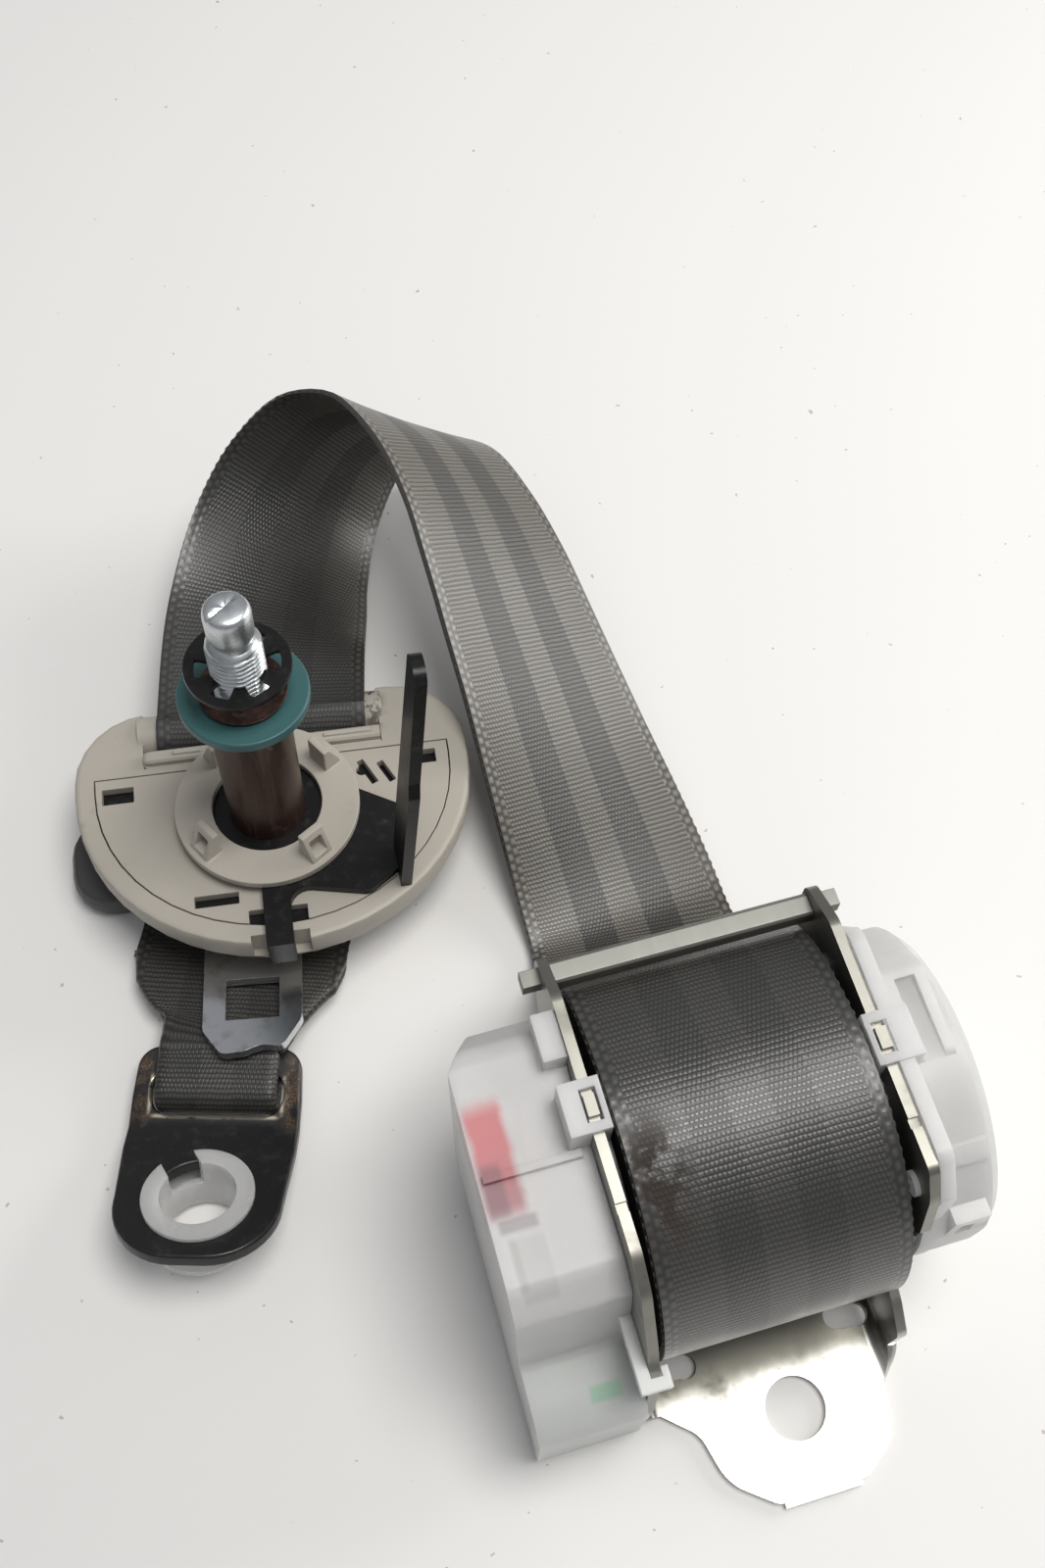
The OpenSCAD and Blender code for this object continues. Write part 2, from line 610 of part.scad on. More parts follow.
// Cross-section: a flat middle with both edges folded under by the fold share
fold_steps = 4;
function edge_run(flat_half) =
    let(arc = min(3.14159*fold_r, (belt_w/2 - flat_half)*0.9))
    concat([[flat_half, 0, 0]],
        [for (k = [1:fold_steps]) let(g = arc*k/fold_steps/fold_r*180/3.14159)
            [flat_half + fold_r*sin(g), -fold_r*(1 - cos(g)), g]],
        [let(g = arc/fold_r*180/3.14159, rest = belt_w/2 - flat_half - arc)
            [flat_half + fold_r*sin(g) + rest*cos(g), -fold_r*(1 - cos(g)) - rest*sin(g), g]]);
function section(fold) =
    let(half = belt_w/2 - max(0.3, fold*fold_in), run = edge_run(half), n = len(run))
    concat([for (k = [n - 1:-1:0]) [-run[k][0], run[k][1], -run[k][2]]], run);
function ring_at(i) =
    let(s = stations[i], p = stations[max(0, i - 1)][0],
        q = stations[min(len(stations) - 1, i + 1)][0], t = unit(q - p),
        w = unit(s[1] - (s[1]*t)*t), up = cross(t, w), line = section(s[2]))
    concat([for (v = line) s[0] + w*(v[0] + belt_t/2*sin(v[2])) + up*(v[1] + belt_t/2*cos(v[2]))],
           [for (k = [len(line) - 1:-1:0]) let(v = line[k])
               s[0] + w*(v[0] - belt_t/2*sin(v[2])) + up*(v[1] - belt_t/2*cos(v[2]))]);

module webbing() color(fabric) skin([for (i = [0:len(stations) - 1]) ring_at(i)]);

// Pillar guide pieces, drawn about the bolt axis
module place_guide() {
    translate(guide_at)
        rotate(guide_turn)
            children();
}

guide_off = 1.8;
guide_front = 32.6;
guide_back_y = 31;
guide_corner = 17;
tab_y = -guide_front - 1.6;
tab_low = -10.4;
function guide_outline(k) = concat(
    [for (t = [0:7.5:180]) [guide_off + (guide_half - k)*cos(t), 10 - (guide_front + 10 - k)*sin(t)]],
    [for (t = [180:-15:90]) [guide_off - (guide_half - guide_corner) + (guide_corner - k)*cos(t),
        guide_back_y - guide_corner + (guide_corner - k)*sin(t)]],
    [for (t = [90:-15:0]) [guide_off + guide_half - guide_corner + (guide_corner - k)*cos(t),
        guide_back_y - guide_corner + (guide_corner - k)*sin(t)]]);
function guide_ring(k, h) = let(p = guide_outline(k))
    [for (v = p) [v[0], v[1], h]];
slot_y0 = bar_y - guide_bar_r - 5.2;

module front_part(k, y, h0, h1) {
    translate([0, 0, h0])
        linear_extrude(h1 - h0)
            intersection() {
                polygon(guide_outline(k));
                translate([-60, -60])
                    square([120, 60 + y]);
            }
}

module guide_shell() color(grey_plastic) place_guide() union() {
    difference() {
        skin([guide_ring(5.5, shell_low), guide_ring(2.6, shell_low + 0.9), guide_ring(0.8, shell_low + 3),
              guide_ring(0, shell_low + 6), guide_ring(0, -5.6), guide_ring(0.4, -4.8),
              guide_ring(1.4, -4.3)]);
        front_part(4.4, slot_y0 - 1.6, shell_floor, 5);
        translate([-guide_slot_w/2, slot_y0, -30])
            cube([guide_slot_w, 40, 40]);
        translate([0, 0, -30])
            cylinder(r = 11.5, h = 40);
        translate([-stop_half - 3.4, -50, -11])
            cube([2*stop_half + 6.8, 20, 20]);
    }
    translate([-guide_slot_w/2 - 1, bar_y, bar_h])
        rotate([0, 90, 0])
            cylinder(r = guide_bar_r, h = guide_slot_w + 2);
}

module guide_back() color(grey_plastic) place_guide() difference() {
    front_part(4.7, slot_y0 - 1.9, back_top - back_t, back_top);
    translate([0, 0, -30])
        cylinder(r = ring_hole_r + 2, h = 60);
    translate([-36.5, 7, -30])
        cube([7, 4, 60]);
    translate([34, 8, -30])
        cube([4.6, 3.6, 60]);
    translate([-17.6, -21.8, -30])
        cube([9.5, 2.8, 60]);
    translate([23.5, 4, -30])
        rotate([0, 0, 25])
            cube([1.6, 7, 60]);
    translate([27.5, 4, -30])
        rotate([0, 0, 25])
            cube([1.6, 6, 60]);
    translate([21.5, 8, -30])
        cylinder(r = 1.3, h = 60);
    translate([-stop_half - 3.4, -60, -30])
        cube([2*stop_half + 6.8, 36, 60]);
}

module guide_loop() color(steel) place_guide() difference() {
    front_part(5.4, slot_y0 - 2.4, loop_top - loop_t, loop_top);
    translate([0, 0, -30])
        cylinder(r = sleeve_r + run_fit, h = 60);
    translate([-stop_half - 3.4, -60, -30])
        cube([2*stop_half + 6.8, 32, 60]);
}

// Stop bracket: plate round the sleeve, tab down over the rim, tall finger
module stop_bracket() color(black_paint) place_guide() difference() {
    union() {
        translate([0, 0, stop_top - stop_t])
            linear_extrude(stop_t)
                polygon(rounded([[-16, 0, 6], [-13, -13, 6], [-stop_half, -17, 2], [-stop_half, tab_y, 0],
                    [stop_half, tab_y, 0], [stop_half, -20, 4], [20, -24, 3], [30, -17, 2],
                    [30, -4, 3], [17, 4, 6], [8, 15, 6], [-8, 15, 6]]));
        translate([-stop_half, tab_y, tab_low])
            cube([2*stop_half, stop_t, stop_top - tab_low]);
        translate([26.4, -18, stop_top - stop_t + 0.01])
            rotate([0, 4.5, 4])
                rotate([90, 0, 90])
                    linear_extrude(2.4)
                        polygon(rounded([[-5, 0, 0], [4, 0, 0], [4.6, 22, 8], [3.6, finger_h, 3],
                            [-3.6, finger_h, 3], [-4.6, 40, 2], [-5.6, 36, 2]]));
    }
    translate([0, 0, -30])
        cylinder(r = sleeve_r, h = 60);
}

module spacer_sleeve() color([0.28, 0.2, 0.17]) place_guide() difference() {
    union() {
        translate([0, 0, shell_floor + 0.05])
            cylinder(r = sleeve_r, h = sleeve_top - shell_floor - 0.05);
        translate([0, 0, washer_h + 2.6])
            cylinder(r1 = sleeve_r, r2 = sleeve_r + 0.6, h = 0.6);
        translate([0, 0, washer_h + 3.2])
            cylinder(r = sleeve_r + 0.6, h = sleeve_top - washer_h - 3.2);
    }
    translate([0, 0, -30])
        cylinder(r = thread_r + run_fit, h = 100);
}

module guide_bolt() color(zinc) place_guide() difference() {
    union() {
        translate([0, 0, shell_floor - 4.6])
            cylinder(r1 = 8.4, r2 = 10.2, h = 1.6);
        translate([0, 0, shell_floor - 3])
            cylinder(r = 10.2, h = 3);
        translate([0, 0, shell_floor - 0.5])
            cylinder(r = thread_r, h = clip_h - clip_collar - shell_floor + 0.5);
        translate([0, 0, clip_h - clip_collar - 0.5])
            cylinder(r = groove_r, h = clip_collar + clip_t + 1);
        translate([0, 0, clip_h + clip_t])
            cylinder(r = thread_r, h = thread_top - 1 - clip_h - clip_t);
        translate([0, 0, thread_top - 1])
            cylinder(r1 = thread_r, r2 = 4.3, h = 2.6);
        translate([0, 0, thread_top])
            cylinder(r = 4.7, h = bolt_top - thread_top - 2);
        translate([0, 0, bolt_top - 2])
            cylinder(r1 = 4.7, r2 = 3, h = 2);
    }
    translate([0, 0, shell_floor - 7])
        cylinder(r = 4.4, h = 5.4, $fn = 6);
    translate([0, 0, bolt_top - 1.6])
        cylinder(r = 1.6, h = 3);
}

module teal_washer() color([0.15, 0.38, 0.38]) place_guide() difference() {
    translate([0, 0, washer_h])
        cylinder(r = 13.2, h = 2.5);
    translate([0, 0, washer_h - 1])
        cylinder(r = sleeve_r, h = 5);
}

module push_clip() color(black_paint) place_guide() difference() {
    union() {
        translate([0, 0, clip_h])
            cylinder(r = 10.6, h = clip_t);
        translate([0, 0, clip_h - clip_collar])
            cylinder(r = 7.4, h = clip_collar + 0.2);
    }
    translate([0, 0, clip_h - 5])
        cylinder(r = groove_r, h = 10);
    for (a = [0:60:300])
        rotate([0, 0, a])
            translate([4, -1.6, clip_h - 3])
                cube([4.7, 3.2, 6]);
}

// Trim ring with four hollow wedge hooks
module ring_hook() difference() {
    translate([0, 2.8, -0.5])
        rotate([90, 0, 0])
            linear_extrude(5.6)
                polygon([[0, 0], [4.4, 0], [4.4, 1.2], [1.6, 7.4], [0, 7.4]]);
    translate([1.3, -1.6, 1.2])
        cube([4, 3.2, 4]);
}

module trim_ring() color(grey_plastic) place_guide() union() {
    difference() {
        translate([0, 0, -ring_t])
            cylinder(r = ring_r, h = ring_t);
        translate([0, 0, -ring_t - 1])
            cylinder(r = ring_hole_r, h = ring_t + 2);
    }
    for (a = [-55, 35, 125, 215])
        rotate([0, 0, a])
            translate([ring_hole_r + 2.6, 0, 0])
                ring_hook();
}

// Tongue: bent steel blade and moulded grip with a webbing slot
module place_tongue() {
    translate(tongue_at)
        rotate([0, 0, tongue_turn])
            children();
}

blade_y = -11;

module blade_blank() {
    translate([0, 0, blade_z - blade_t/2])
        linear_extrude(blade_t)
            polygon(rounded([[-30, -9, 2], [-blade_w/2 - 2, -9, 1], [-blade_w/2, blade_y - 1.2, 0],
                [blade_w/2, blade_y - 1.2, 0], [blade_w/2 + 2, -9, 1], [30, -9, 2], [30, -4, 2],
                [-30, -4, 2]]));
    translate([0, blade_y, blade_z])
        rotate([-blade_rise, 0, 0])
            translate([0, 0, -blade_t/2])
                linear_extrude(blade_t)
                    polygon(rounded([[blade_w/2, 0.6, 0], [-blade_w/2, 0.6, 0], [-blade_w/2, -34.5, 3],
                        [-6.6, -40.4, 2], [-2, -40.2, 4], [2, -38.8, 4], [6.4, -39.6, 2],
                        [blade_w/2, -33, 3]]));
}

module tongue_plate() color(steel) place_tongue() difference() {
    blade_blank();
    translate([0, blade_y, blade_z])
        rotate([-blade_rise, 0, 0])
            translate([-5.8, -32.4, -5])
                cube([11.6, 10, 10]);
}

grip_lobe = [[27.2, -11, 2], [grip_w/2 - 2, -12, 9], [grip_w/2, 11.6, 9], [27.2, 11.6, 2]];

module grip_side() {
    skin([for (q = [[2.2, 0.4], [0.6, 1.2], [0, 3.2], [0, 6], [0.8, 7.8], [2.4, 8.6]])
        let(p = rounded(inset(grip_lobe, q[0]), 5))
        [for (i = [len(p) - 1:-1:0]) [p[i][0], p[i][1], q[1]]]]);
}

module tongue_grip() color([0.2, 0.2, 0.21]) place_tongue() difference() {
    union() {
        grip_side();
        mirror([1, 0, 0])
            grip_side();
        along_x(-30, 30)
            polygon(rounded([[-11.4, 3.8, 1], [-2.6, 3.8, 1], [-2.6, 8.2, 2], [-5, 8.6, 2],
                [-11.4, 8, 2]], 4));
        along_x(-30, 30)
            polygon(rounded([[5.4, 1, 1], [10.4, 1, 1], [10.4, 4, 1.4], [5.4, 4.3, 1.4]], 4));
    }
    blade_blank();
}

// Lower anchor: two leaves with a bend, and a split bush in the bolt hole
module place_anchor() {
    translate(anchor_at)
        rotate([0, 0, anchor_turn])
            children();
}

module leaf_turn() {
    rotate([-anchor_bend, 0, 0])
        children();
}

function on_leaf(y, z) = [y*cos(anchor_bend) + z*sin(anchor_bend),
    z*cos(anchor_bend) - y*sin(anchor_bend)];
hole_end = anchor_hole_y - 14.8;
slot_leaf = [[-anchor_wide - 0.4, 0, 0], [anchor_wide + 0.4, 0, 0], [17.4, slot_end, 5],
    [-17.4, slot_end, 5]];
hole_leaf = [[-anchor_wide - 0.4, 0, 0], [-anchor_half, anchor_hole_y, 0], [-anchor_half, hole_end, 14],
    [anchor_half, hole_end, 14], [anchor_half, anchor_hole_y, 0], [anchor_wide + 0.4, 0, 0]];

// What lies outside a leaf's outline, from y0 to y1
module outside(outline, y0, y1) {
    translate([0, 0, -20])
        linear_extrude(40)
            difference() {
                translate([-40, y0])
                    square([80, y1 - y0]);
                polygon(rounded(outline, 10));
            }
}

module anchor_plate() color(black_paint) place_anchor() difference() {
    along_x(-anchor_wide, anchor_wide)
        polygon(concat([[0, 0], [slot_end + 4, 0], [slot_end + 4, -anchor_t]],
            [for (k = [0:5]) anchor_t*[-sin(anchor_bend*k/5), -cos(anchor_bend*k/5)]],
            [on_leaf(hole_end - 4, -anchor_t), on_leaf(hole_end - 4, 0)]));
    outside(slot_leaf, 2, 40);
    leaf_turn()
        outside(hole_leaf, -60, -2);
    translate([0, 0, -20])
        linear_extrude(40)
            polygon(rounded([[-anchor_slot_w/2, anchor_slot_y, 5], [anchor_slot_w/2, anchor_slot_y, 5],
                [anchor_slot_w/2, anchor_bar_y - anchor_bar_half, 3],
                [-anchor_slot_w/2, anchor_bar_y - anchor_bar_half, 3]]));
    leaf_turn()
        translate([0, anchor_hole_y, -20])
            cylinder(r = bush_hole_r + run_fit, h = 40);
}

module anchor_bush() color(milky) place_anchor() leaf_turn() translate([0, anchor_hole_y, 0])
    difference() {
        union() {
            translate([0, 0, -10.4])
                cylinder(r = bush_hole_r, h = 11.4);
            translate([0, 0, 0.1])
                cylinder(r = 11.5, h = 1.1);
            translate([0, 0, -11.2])
                cylinder(r = 10.8, h = 1.1);
        }
        translate([0, 0, -20])
            cylinder(r = bush_bore_r, h = 40);
        rotate([0, 0, 122])
            translate([5, -3.6, -5])
                cube([20, 7.2, 20]);
    }

frame();
tie_bar();
bush_left();
bush_right();
spool();
torsion_bar();
webbing_roll();
ratchet_wheel();
lock_pawl();
pawl_pin();
lock_disc();
sensor_cup();
sensor_ball();
sensor_lever();
sensor_cover();
power_spring();
spring_arbor();
spring_cover();
webbing();
guide_shell();
guide_back();
guide_loop();
stop_bracket();
spacer_sleeve();
guide_bolt();
teal_washer();
push_clip();
trim_ring();
tongue_plate();
tongue_grip();
anchor_plate();
anchor_bush();
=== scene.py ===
"""Dresses the seat belt retractor: woven webbing, wound roll, threaded bolt, mouldings, plating and table."""

import json
import math

import bmesh
import bpy
from mathutils import Euler, Matrix, Vector, noise


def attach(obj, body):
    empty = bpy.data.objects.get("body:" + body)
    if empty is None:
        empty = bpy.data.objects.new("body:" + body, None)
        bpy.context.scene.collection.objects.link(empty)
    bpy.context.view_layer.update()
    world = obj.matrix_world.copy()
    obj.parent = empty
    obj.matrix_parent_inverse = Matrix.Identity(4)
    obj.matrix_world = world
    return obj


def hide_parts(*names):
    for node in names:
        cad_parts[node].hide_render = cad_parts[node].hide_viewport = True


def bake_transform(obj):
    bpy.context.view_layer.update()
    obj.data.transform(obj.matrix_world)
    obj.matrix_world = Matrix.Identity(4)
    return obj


bl_info = {
    "name": "Seat belt retractor",
    "version": (1, 0, 0),
    "blender": (4, 5, 0),
    "location": "View3D > Sidebar > Belt",
    "description": "Webbing, mouldings and finishes for a seat belt retractor",
    "category": "Object",
}

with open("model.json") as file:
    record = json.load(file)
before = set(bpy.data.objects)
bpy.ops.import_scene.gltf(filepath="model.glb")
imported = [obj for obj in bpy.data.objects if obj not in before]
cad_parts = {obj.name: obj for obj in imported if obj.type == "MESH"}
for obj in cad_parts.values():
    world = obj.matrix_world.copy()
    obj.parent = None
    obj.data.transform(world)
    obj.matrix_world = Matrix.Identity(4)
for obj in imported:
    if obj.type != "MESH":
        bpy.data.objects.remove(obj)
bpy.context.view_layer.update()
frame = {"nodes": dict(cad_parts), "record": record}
MM = 0.001
BODY_OF = {
    node: body
    for body, nodes in frame["record"]["behaviour"]["bodies"].items()
    for node in nodes
}

# Places shared with the solids, in millimetres
SPOOL_X, SPOOL_Y, SPOOL_Z = -4.0, 48.3, 38.5
ROLL_R, CORE_R = 35.7, 14.0
BELT_W, BELT_T = 47.0, 1.2
GUIDE = Matrix.Translation((-73.0, 148.5, 27.0)) @ Euler(
    [math.radians(a) for a in (-4.5, 1.5, -7.0)]
).to_matrix().to_4x4()
ANCHOR = Matrix.Translation((-100.4, 86.5, 7.0)) @ Matrix.Rotation(math.radians(-17.0), 4, "Z")
TONGUE = Matrix.Translation((-79.0, 147.5, 0.0)) @ Matrix.Rotation(math.radians(-11.0), 4, "Z")
# Centre of the guide's bar and the radius at which the webbing turns round it, in the guide's frame
BAR_Y, BAR_Z, BAR_TURN_R = 25.8, -8.0, 6.45
# Heights of the webbing's loop in the anchor's frame: its middle, and from there to the upper and lower leg
LOOP_MIDDLE, LOOP_UPPER, LOOP_LOWER = -1.6, 4.1, 4.5
# The three places in metres, for the finishes
ANCHOR_M, GUIDE_M, TONGUE_M = [
    Matrix.Translation(m.translation * MM) @ m.to_3x3().to_4x4() for m in (ANCHOR, GUIDE, TONGUE)
]


# Sizes and colours a user may change
def colour(label, text, value):
    return bpy.props.FloatVectorProperty(
        name=label, description=text, subtype="COLOR", size=3, min=0, max=1, default=value
    )


def length(label, text, value):
    return bpy.props.FloatProperty(
        name=label, description=text, unit="LENGTH", subtype="DISTANCE", min=0, default=value
    )


class BeltSizes(bpy.types.PropertyGroup):
    """Sizes of the surface detail."""

    row_pitch: length("Weave row pitch", "Distance between woven rows along the webbing", 1.1 * MM)
    float_pitch: length("Yarn pitch", "Distance between yarns across the webbing", 0.85 * MM)
    stitch_pitch: length("Selvedge pitch", "Distance between selvedge loops", 2.3 * MM)
    thread_pitch: length("Thread pitch", "Pitch of the bolt thread", 1.27 * MM)
    thread_depth: length("Thread depth", "Depth of the bolt thread", 0.62 * MM)
    edge: length("Edge rounding", "Rounding of moulded and pressed edges", 0.3 * MM)


class BeltColours(bpy.types.PropertyGroup):
    """Colours of the finishes."""

    yarn: colour("Yarn", "Lit yarns of the webbing", (0.17, 0.155, 0.125))
    ground: colour("Ground", "Shaded ground of the webbing", (0.009, 0.01, 0.0115))
    guide: colour("Guide", "Warm grey moulding of the pillar guide", (0.44, 0.408, 0.352))
    milky: colour("Covers", "Milky covers of the retractor", (0.96, 0.955, 0.935))
    zinc: colour("Zinc", "Plated sheet of the frame", (0.72, 0.71, 0.67))
    teal: colour("Washer", "Teal washer on the sleeve", (0.036, 0.115, 0.117))
    sleeve: colour("Sleeve", "Brown spacer sleeve", (0.05, 0.026, 0.02))
    black: colour("Black paint", "Painted bracket and anchor", (0.007, 0.007, 0.007))
    table: colour("Table", "Pale table top", (0.83, 0.82, 0.8))


# Node trees
class Wire:
    """One output of a node; arithmetic on it adds Math nodes."""

    def __init__(self, nodes, socket):
        self.nodes = nodes
        self.socket = socket

    def maths(self, operation, *values):
        return self.nodes.node("ShaderNodeMath", {"operation": operation}, dict(enumerate(values)))

    def __add__(self, other):
        return self.maths("ADD", self, other)

    __radd__ = __add__

    def __mul__(self, other):
        return self.maths("MULTIPLY", self, other)

    __rmul__ = __mul__

    def __sub__(self, other):
        return self.maths("SUBTRACT", self, other)

    def __rsub__(self, other):
        return self.maths("SUBTRACT", other, self)

    def __truediv__(self, other):
        return self.maths("DIVIDE", self, other)

    def __pow__(self, other):
        return self.maths("POWER", self, other)

    def floor(self):
        return self.maths("FLOOR", self)

    def fract(self):
        return self.maths("FRACT", self)

    def absolute(self):
        return self.maths("ABSOLUTE", self)

    def least(self, other):
        return self.maths("MINIMUM", self, other)

    def most(self, other):
        return self.maths("MAXIMUM", self, other)

    def ramp(self, low, high):
        """0 below low, 1 above high, smooth between."""
        return self.nodes.node(
            "ShaderNodeMapRange",
            {"interpolation_type": "SMOOTHSTEP"},
            {"Value": self, "From Min": low, "From Max": high},
        )

    def hump(self):
        """0 at both ends of 0 to 1 and 1 in the middle."""
        return 1 - (self * 2 - 1).absolute()


class Nodes:
    """A node tree that is being built."""

    def __init__(self, tree):
        self.tree = tree
        tree.nodes.clear()

    def node(self, kind, settings=None, sockets=None, out=0):
        """Adds a node and gives one of its outputs."""
        made = self.tree.nodes.new(kind)
        for key, value in (settings or {}).items():
            setattr(made, key, value)
        for key, value in (sockets or {}).items():
            if isinstance(value, Wire):
                self.tree.links.new(value.socket, made.inputs[key])
            else:
                made.inputs[key].default_value = value
        return Wire(self, made.outputs[out]) if len(made.outputs) else None

    def siblings(self, wire):
        """All outputs of the node that a wire comes from."""
        return [Wire(self, socket) for socket in wire.socket.node.outputs]

    def axes(self, point):
        return self.siblings(self.node("ShaderNodeSeparateXYZ", None, {0: point}))

    def mix(self, share, first, second):
        def full(c):
            return c if isinstance(c, Wire) else (*c, 1.0)

        return self.node(
            "ShaderNodeMix",
            {"data_type": "RGBA", "clamp_factor": True},
            {0: share, 6: full(first), 7: full(second)},
            out=2,
        )


class Finish(Nodes):
    """One procedural material."""

    def __init__(self, name):
        self.material = bpy.data.materials.new(name)
        self.material.use_nodes = True
        super().__init__(self.material.node_tree)

    def place(self, matrix=None):
        """Object coordinates in metres, or millimetres in the frame of the given matrix."""
        point = self.node("ShaderNodeTexCoord", out="Object")
        if matrix is None:
            return point
        back = matrix.inverted()
        sockets = {
            "Vector": point,
            "Location": back.translation / MM,
            "Rotation": back.to_euler(),
            "Scale": (1000, 1000, 1000),
        }
        return self.node("ShaderNodeMapping", {"vector_type": "POINT"}, sockets)

    def grain(self, point, scale, detail=3.0, rough=0.55, stretch=None):
        if stretch:
            point = self.node("ShaderNodeVectorMath", {"operation": "MULTIPLY"}, {0: point, 1: stretch})
        sockets = {"Vector": point, "Scale": scale, "Detail": detail, "Roughness": rough}
        return self.node("ShaderNodeTexNoise", None, sockets)

    def bump(self, height, depth, strength=1.0):
        sockets = {"Height": height, "Distance": depth, "Strength": strength}
        return self.node("ShaderNodeBump", None, sockets)

    def surface(self, base, rough, normal=None, **fixed):
        """Closes the material with a Principled shader."""
        sockets = {"Base Color": base if isinstance(base, Wire) else (*base, 1.0), "Roughness": rough}
        if normal is not None:
            sockets["Normal"] = normal
        for key, value in fixed.items():
            sockets[key.replace("_", " ")] = value
        shader = self.node("ShaderNodeBsdfPrincipled", None, sockets)
        self.node("ShaderNodeOutputMaterial", None, {"Surface": shader})
        return self.material


# Finishes
def webbing_finish(look, sizes, name, gloss, coat):
    """Woven polyester on the piece's own UV: u across and v along, both in metres."""
    f = Finish(name)
    uv = f.node("ShaderNodeUVMap", {"uv_map": "weave"})
    u, v, _ = f.axes(uv)
    sway = f.grain(uv, 260.0, 2.0)
    v = v + (sway - 0.5) * 0.0005
    row = (v / sizes.row_pitch).floor()
    along = (v / sizes.row_pitch).fract()
    across_mm = u * 1000.0
    # Two darker panels between three lighter ones
    off_middle = (across_mm - BELT_W / 2).absolute()
    panel = off_middle.ramp(3.4, 3.9) * (1 - off_middle.ramp(11.4, 11.9))
    selvedge = off_middle.ramp(20.4, 20.9)
    plain = ((u / sizes.float_pitch) + row * 0.5).fract()
    twill = ((u / sizes.float_pitch) + row * 0.36 + along * 0.35).fract()
    yarn = plain * panel + twill * (1 - panel)
    float_height = (yarn.hump() * 2.2).least(1.0)
    row_height = (along.hump() * 1.5).least(1.0)
    body = float_height * row_height
    dash = float_height * along.hump().ramp(0.45, 0.85)
    knot_u = (across_mm / 1.55).fract()
    knot_v = (v / sizes.stitch_pitch + (across_mm / 1.55).floor() * 0.5).fract()
    knot = (knot_u.hump() * 1.4).least(1.0) * (knot_v.hump() * 1.8 - 0.3).most(0.0).least(1.0)
    height = body * (1 - selvedge) + knot * selvedge
    wear = f.grain(f.place(), 42.0, 4.0, 0.6)
    fuzz = f.grain(f.place(), 5200.0, 2.0)
    lit = dash * (1 - selvedge) + knot * selvedge
    # The free run is painted lighter than the roll and the inner side, standing in for the light it catches,
    # and its panels stand out more there
    x, y, z = f.axes(f.place())
    painted_lit_run = y.ramp(0.08, 0.1) * x.ramp(-0.05, -0.028)
    panelled = 1 - panel * (0.25 + painted_lit_run * 0.33)
    level = (lit * 0.62 + height * 0.2 + 0.18) * panelled * (0.72 + fuzz * 0.5)
    level = level * (0.75 + wear * 0.5) * (1 - selvedge * 0.12) * (0.36 + painted_lit_run * 0.84)
    base = f.mix(level, look.ground, look.yarn)
    # Brown scuff on the wound turn next to the sensor side
    scuff_at = (x + 0.0235) ** 2.0 + ((y - 0.036) * 0.62) ** 2.0
    patch = f.grain(f.place(), 240.0, 4.0, 0.65)
    scuff = (1 - scuff_at.ramp(0.0, 0.00009)) * z.ramp(0.055, 0.065) * patch.ramp(0.4, 0.56)
    base = f.mix(scuff * 0.9, base, (0.022, 0.014, 0.009))
    # Painted shade where it turns round the guide's bar, with its gloss dulled there too
    _, guide_y, _ = f.axes(f.place(GUIDE_M))
    bar_shade_and_dull = (1 - x.ramp(-0.048, -0.04)) * guide_y.ramp(16.0, 18.0) * (1 - guide_y.ramp(30.0, 35.0)) * 0.8
    base = f.mix(bar_shade_and_dull * 0.5, base, look.ground)
    rough = 0.4 - lit * 0.08 + scuff * 0.45 + bar_shade_and_dull * 0.3
    coated = (1 - scuff) * (1 - bar_shade_and_dull) * panelled * (1 - painted_lit_run * 0.4) * coat
    normal = f.bump(height + fuzz * 0.12, 0.0002, 0.42)
    return f.surface(
        base, rough, normal, Specular_IOR_Level=gloss, Coat_Weight=coated, Coat_Roughness=0.34,
        Sheen_Weight=0.05, Sheen_Roughness=0.4, Sheen_Tint=(0.8, 0.78, 0.74, 1.0),
    )


def roll_edge_finish(look):
    """Edges of the wound turns: fine rings about the spool axis."""
    f = Finish("wound edges")
    _, y, z = f.axes(f.place(Matrix.Translation((SPOOL_X * MM, SPOOL_Y * MM, SPOOL_Z * MM))))
    radius = (y * y + z * z) ** 0.5
    turn = (radius / 1.25 + f.grain(f.place(), 90.0) * 0.5).fract()
    fuzz = f.grain(f.place(), 3000.0)
    base = f.mix(turn.hump() * fuzz, look.ground, (0.07, 0.07, 0.07))
    return f.surface(base, 0.75, f.bump(turn.hump() + fuzz * 0.3, 0.0004), Specular_IOR_Level=0.3)


def zinc_finish(look, name, bright):
    """Zinc plate with rolling streaks, matt blotches and oily stains, and a painted dark reflection of the
    roll on the tab; bright runs from 0 to 1.
    """
    f = Finish(name)
    point = f.place()
    streak = f.grain(point, 420.0, 4.0, 0.6, (1.0, 0.06, 1.0))
    blotch = f.grain(point, 65.0, 4.0, 0.6)
    speck = f.grain(point, 900.0, 2.0, 0.5)
    stain = blotch.ramp(0.56, 0.72)
    base = f.mix(stain * 0.4, look.zinc, (0.5, 0.47, 0.38))
    base = f.mix(speck.ramp(0.68, 0.76) * 0.55, base, (0.2, 0.17, 0.12))
    # The side plates are duller than the tab
    _, y, z = f.axes(point)
    raised = z.ramp(0.01, 0.02)
    base = f.mix(raised * (0.75 + blotch * 0.25), base, (0.205, 0.2, 0.172))
    # Painted dark reflection of the roll on the tab, along the roll
    roll_reflection = (y + (blotch - 0.5) * 0.008).ramp(0.0, 0.011) * (1 - z.ramp(0.003, 0.006))
    base = f.mix(roll_reflection * 0.95 * bright, base, (0.055, 0.053, 0.042))
    base = f.mix((1.0 - bright) * (0.6 + streak * 0.4), base, (0.27, 0.272, 0.248))
    rough = 0.24 + streak * 0.14 + stain * 0.14 + (1.0 - bright) * 0.12 + raised * 0.08
    return f.surface(base, rough, f.bump(streak + speck * 0.4, 0.00002, 0.5), Metallic=0.92)


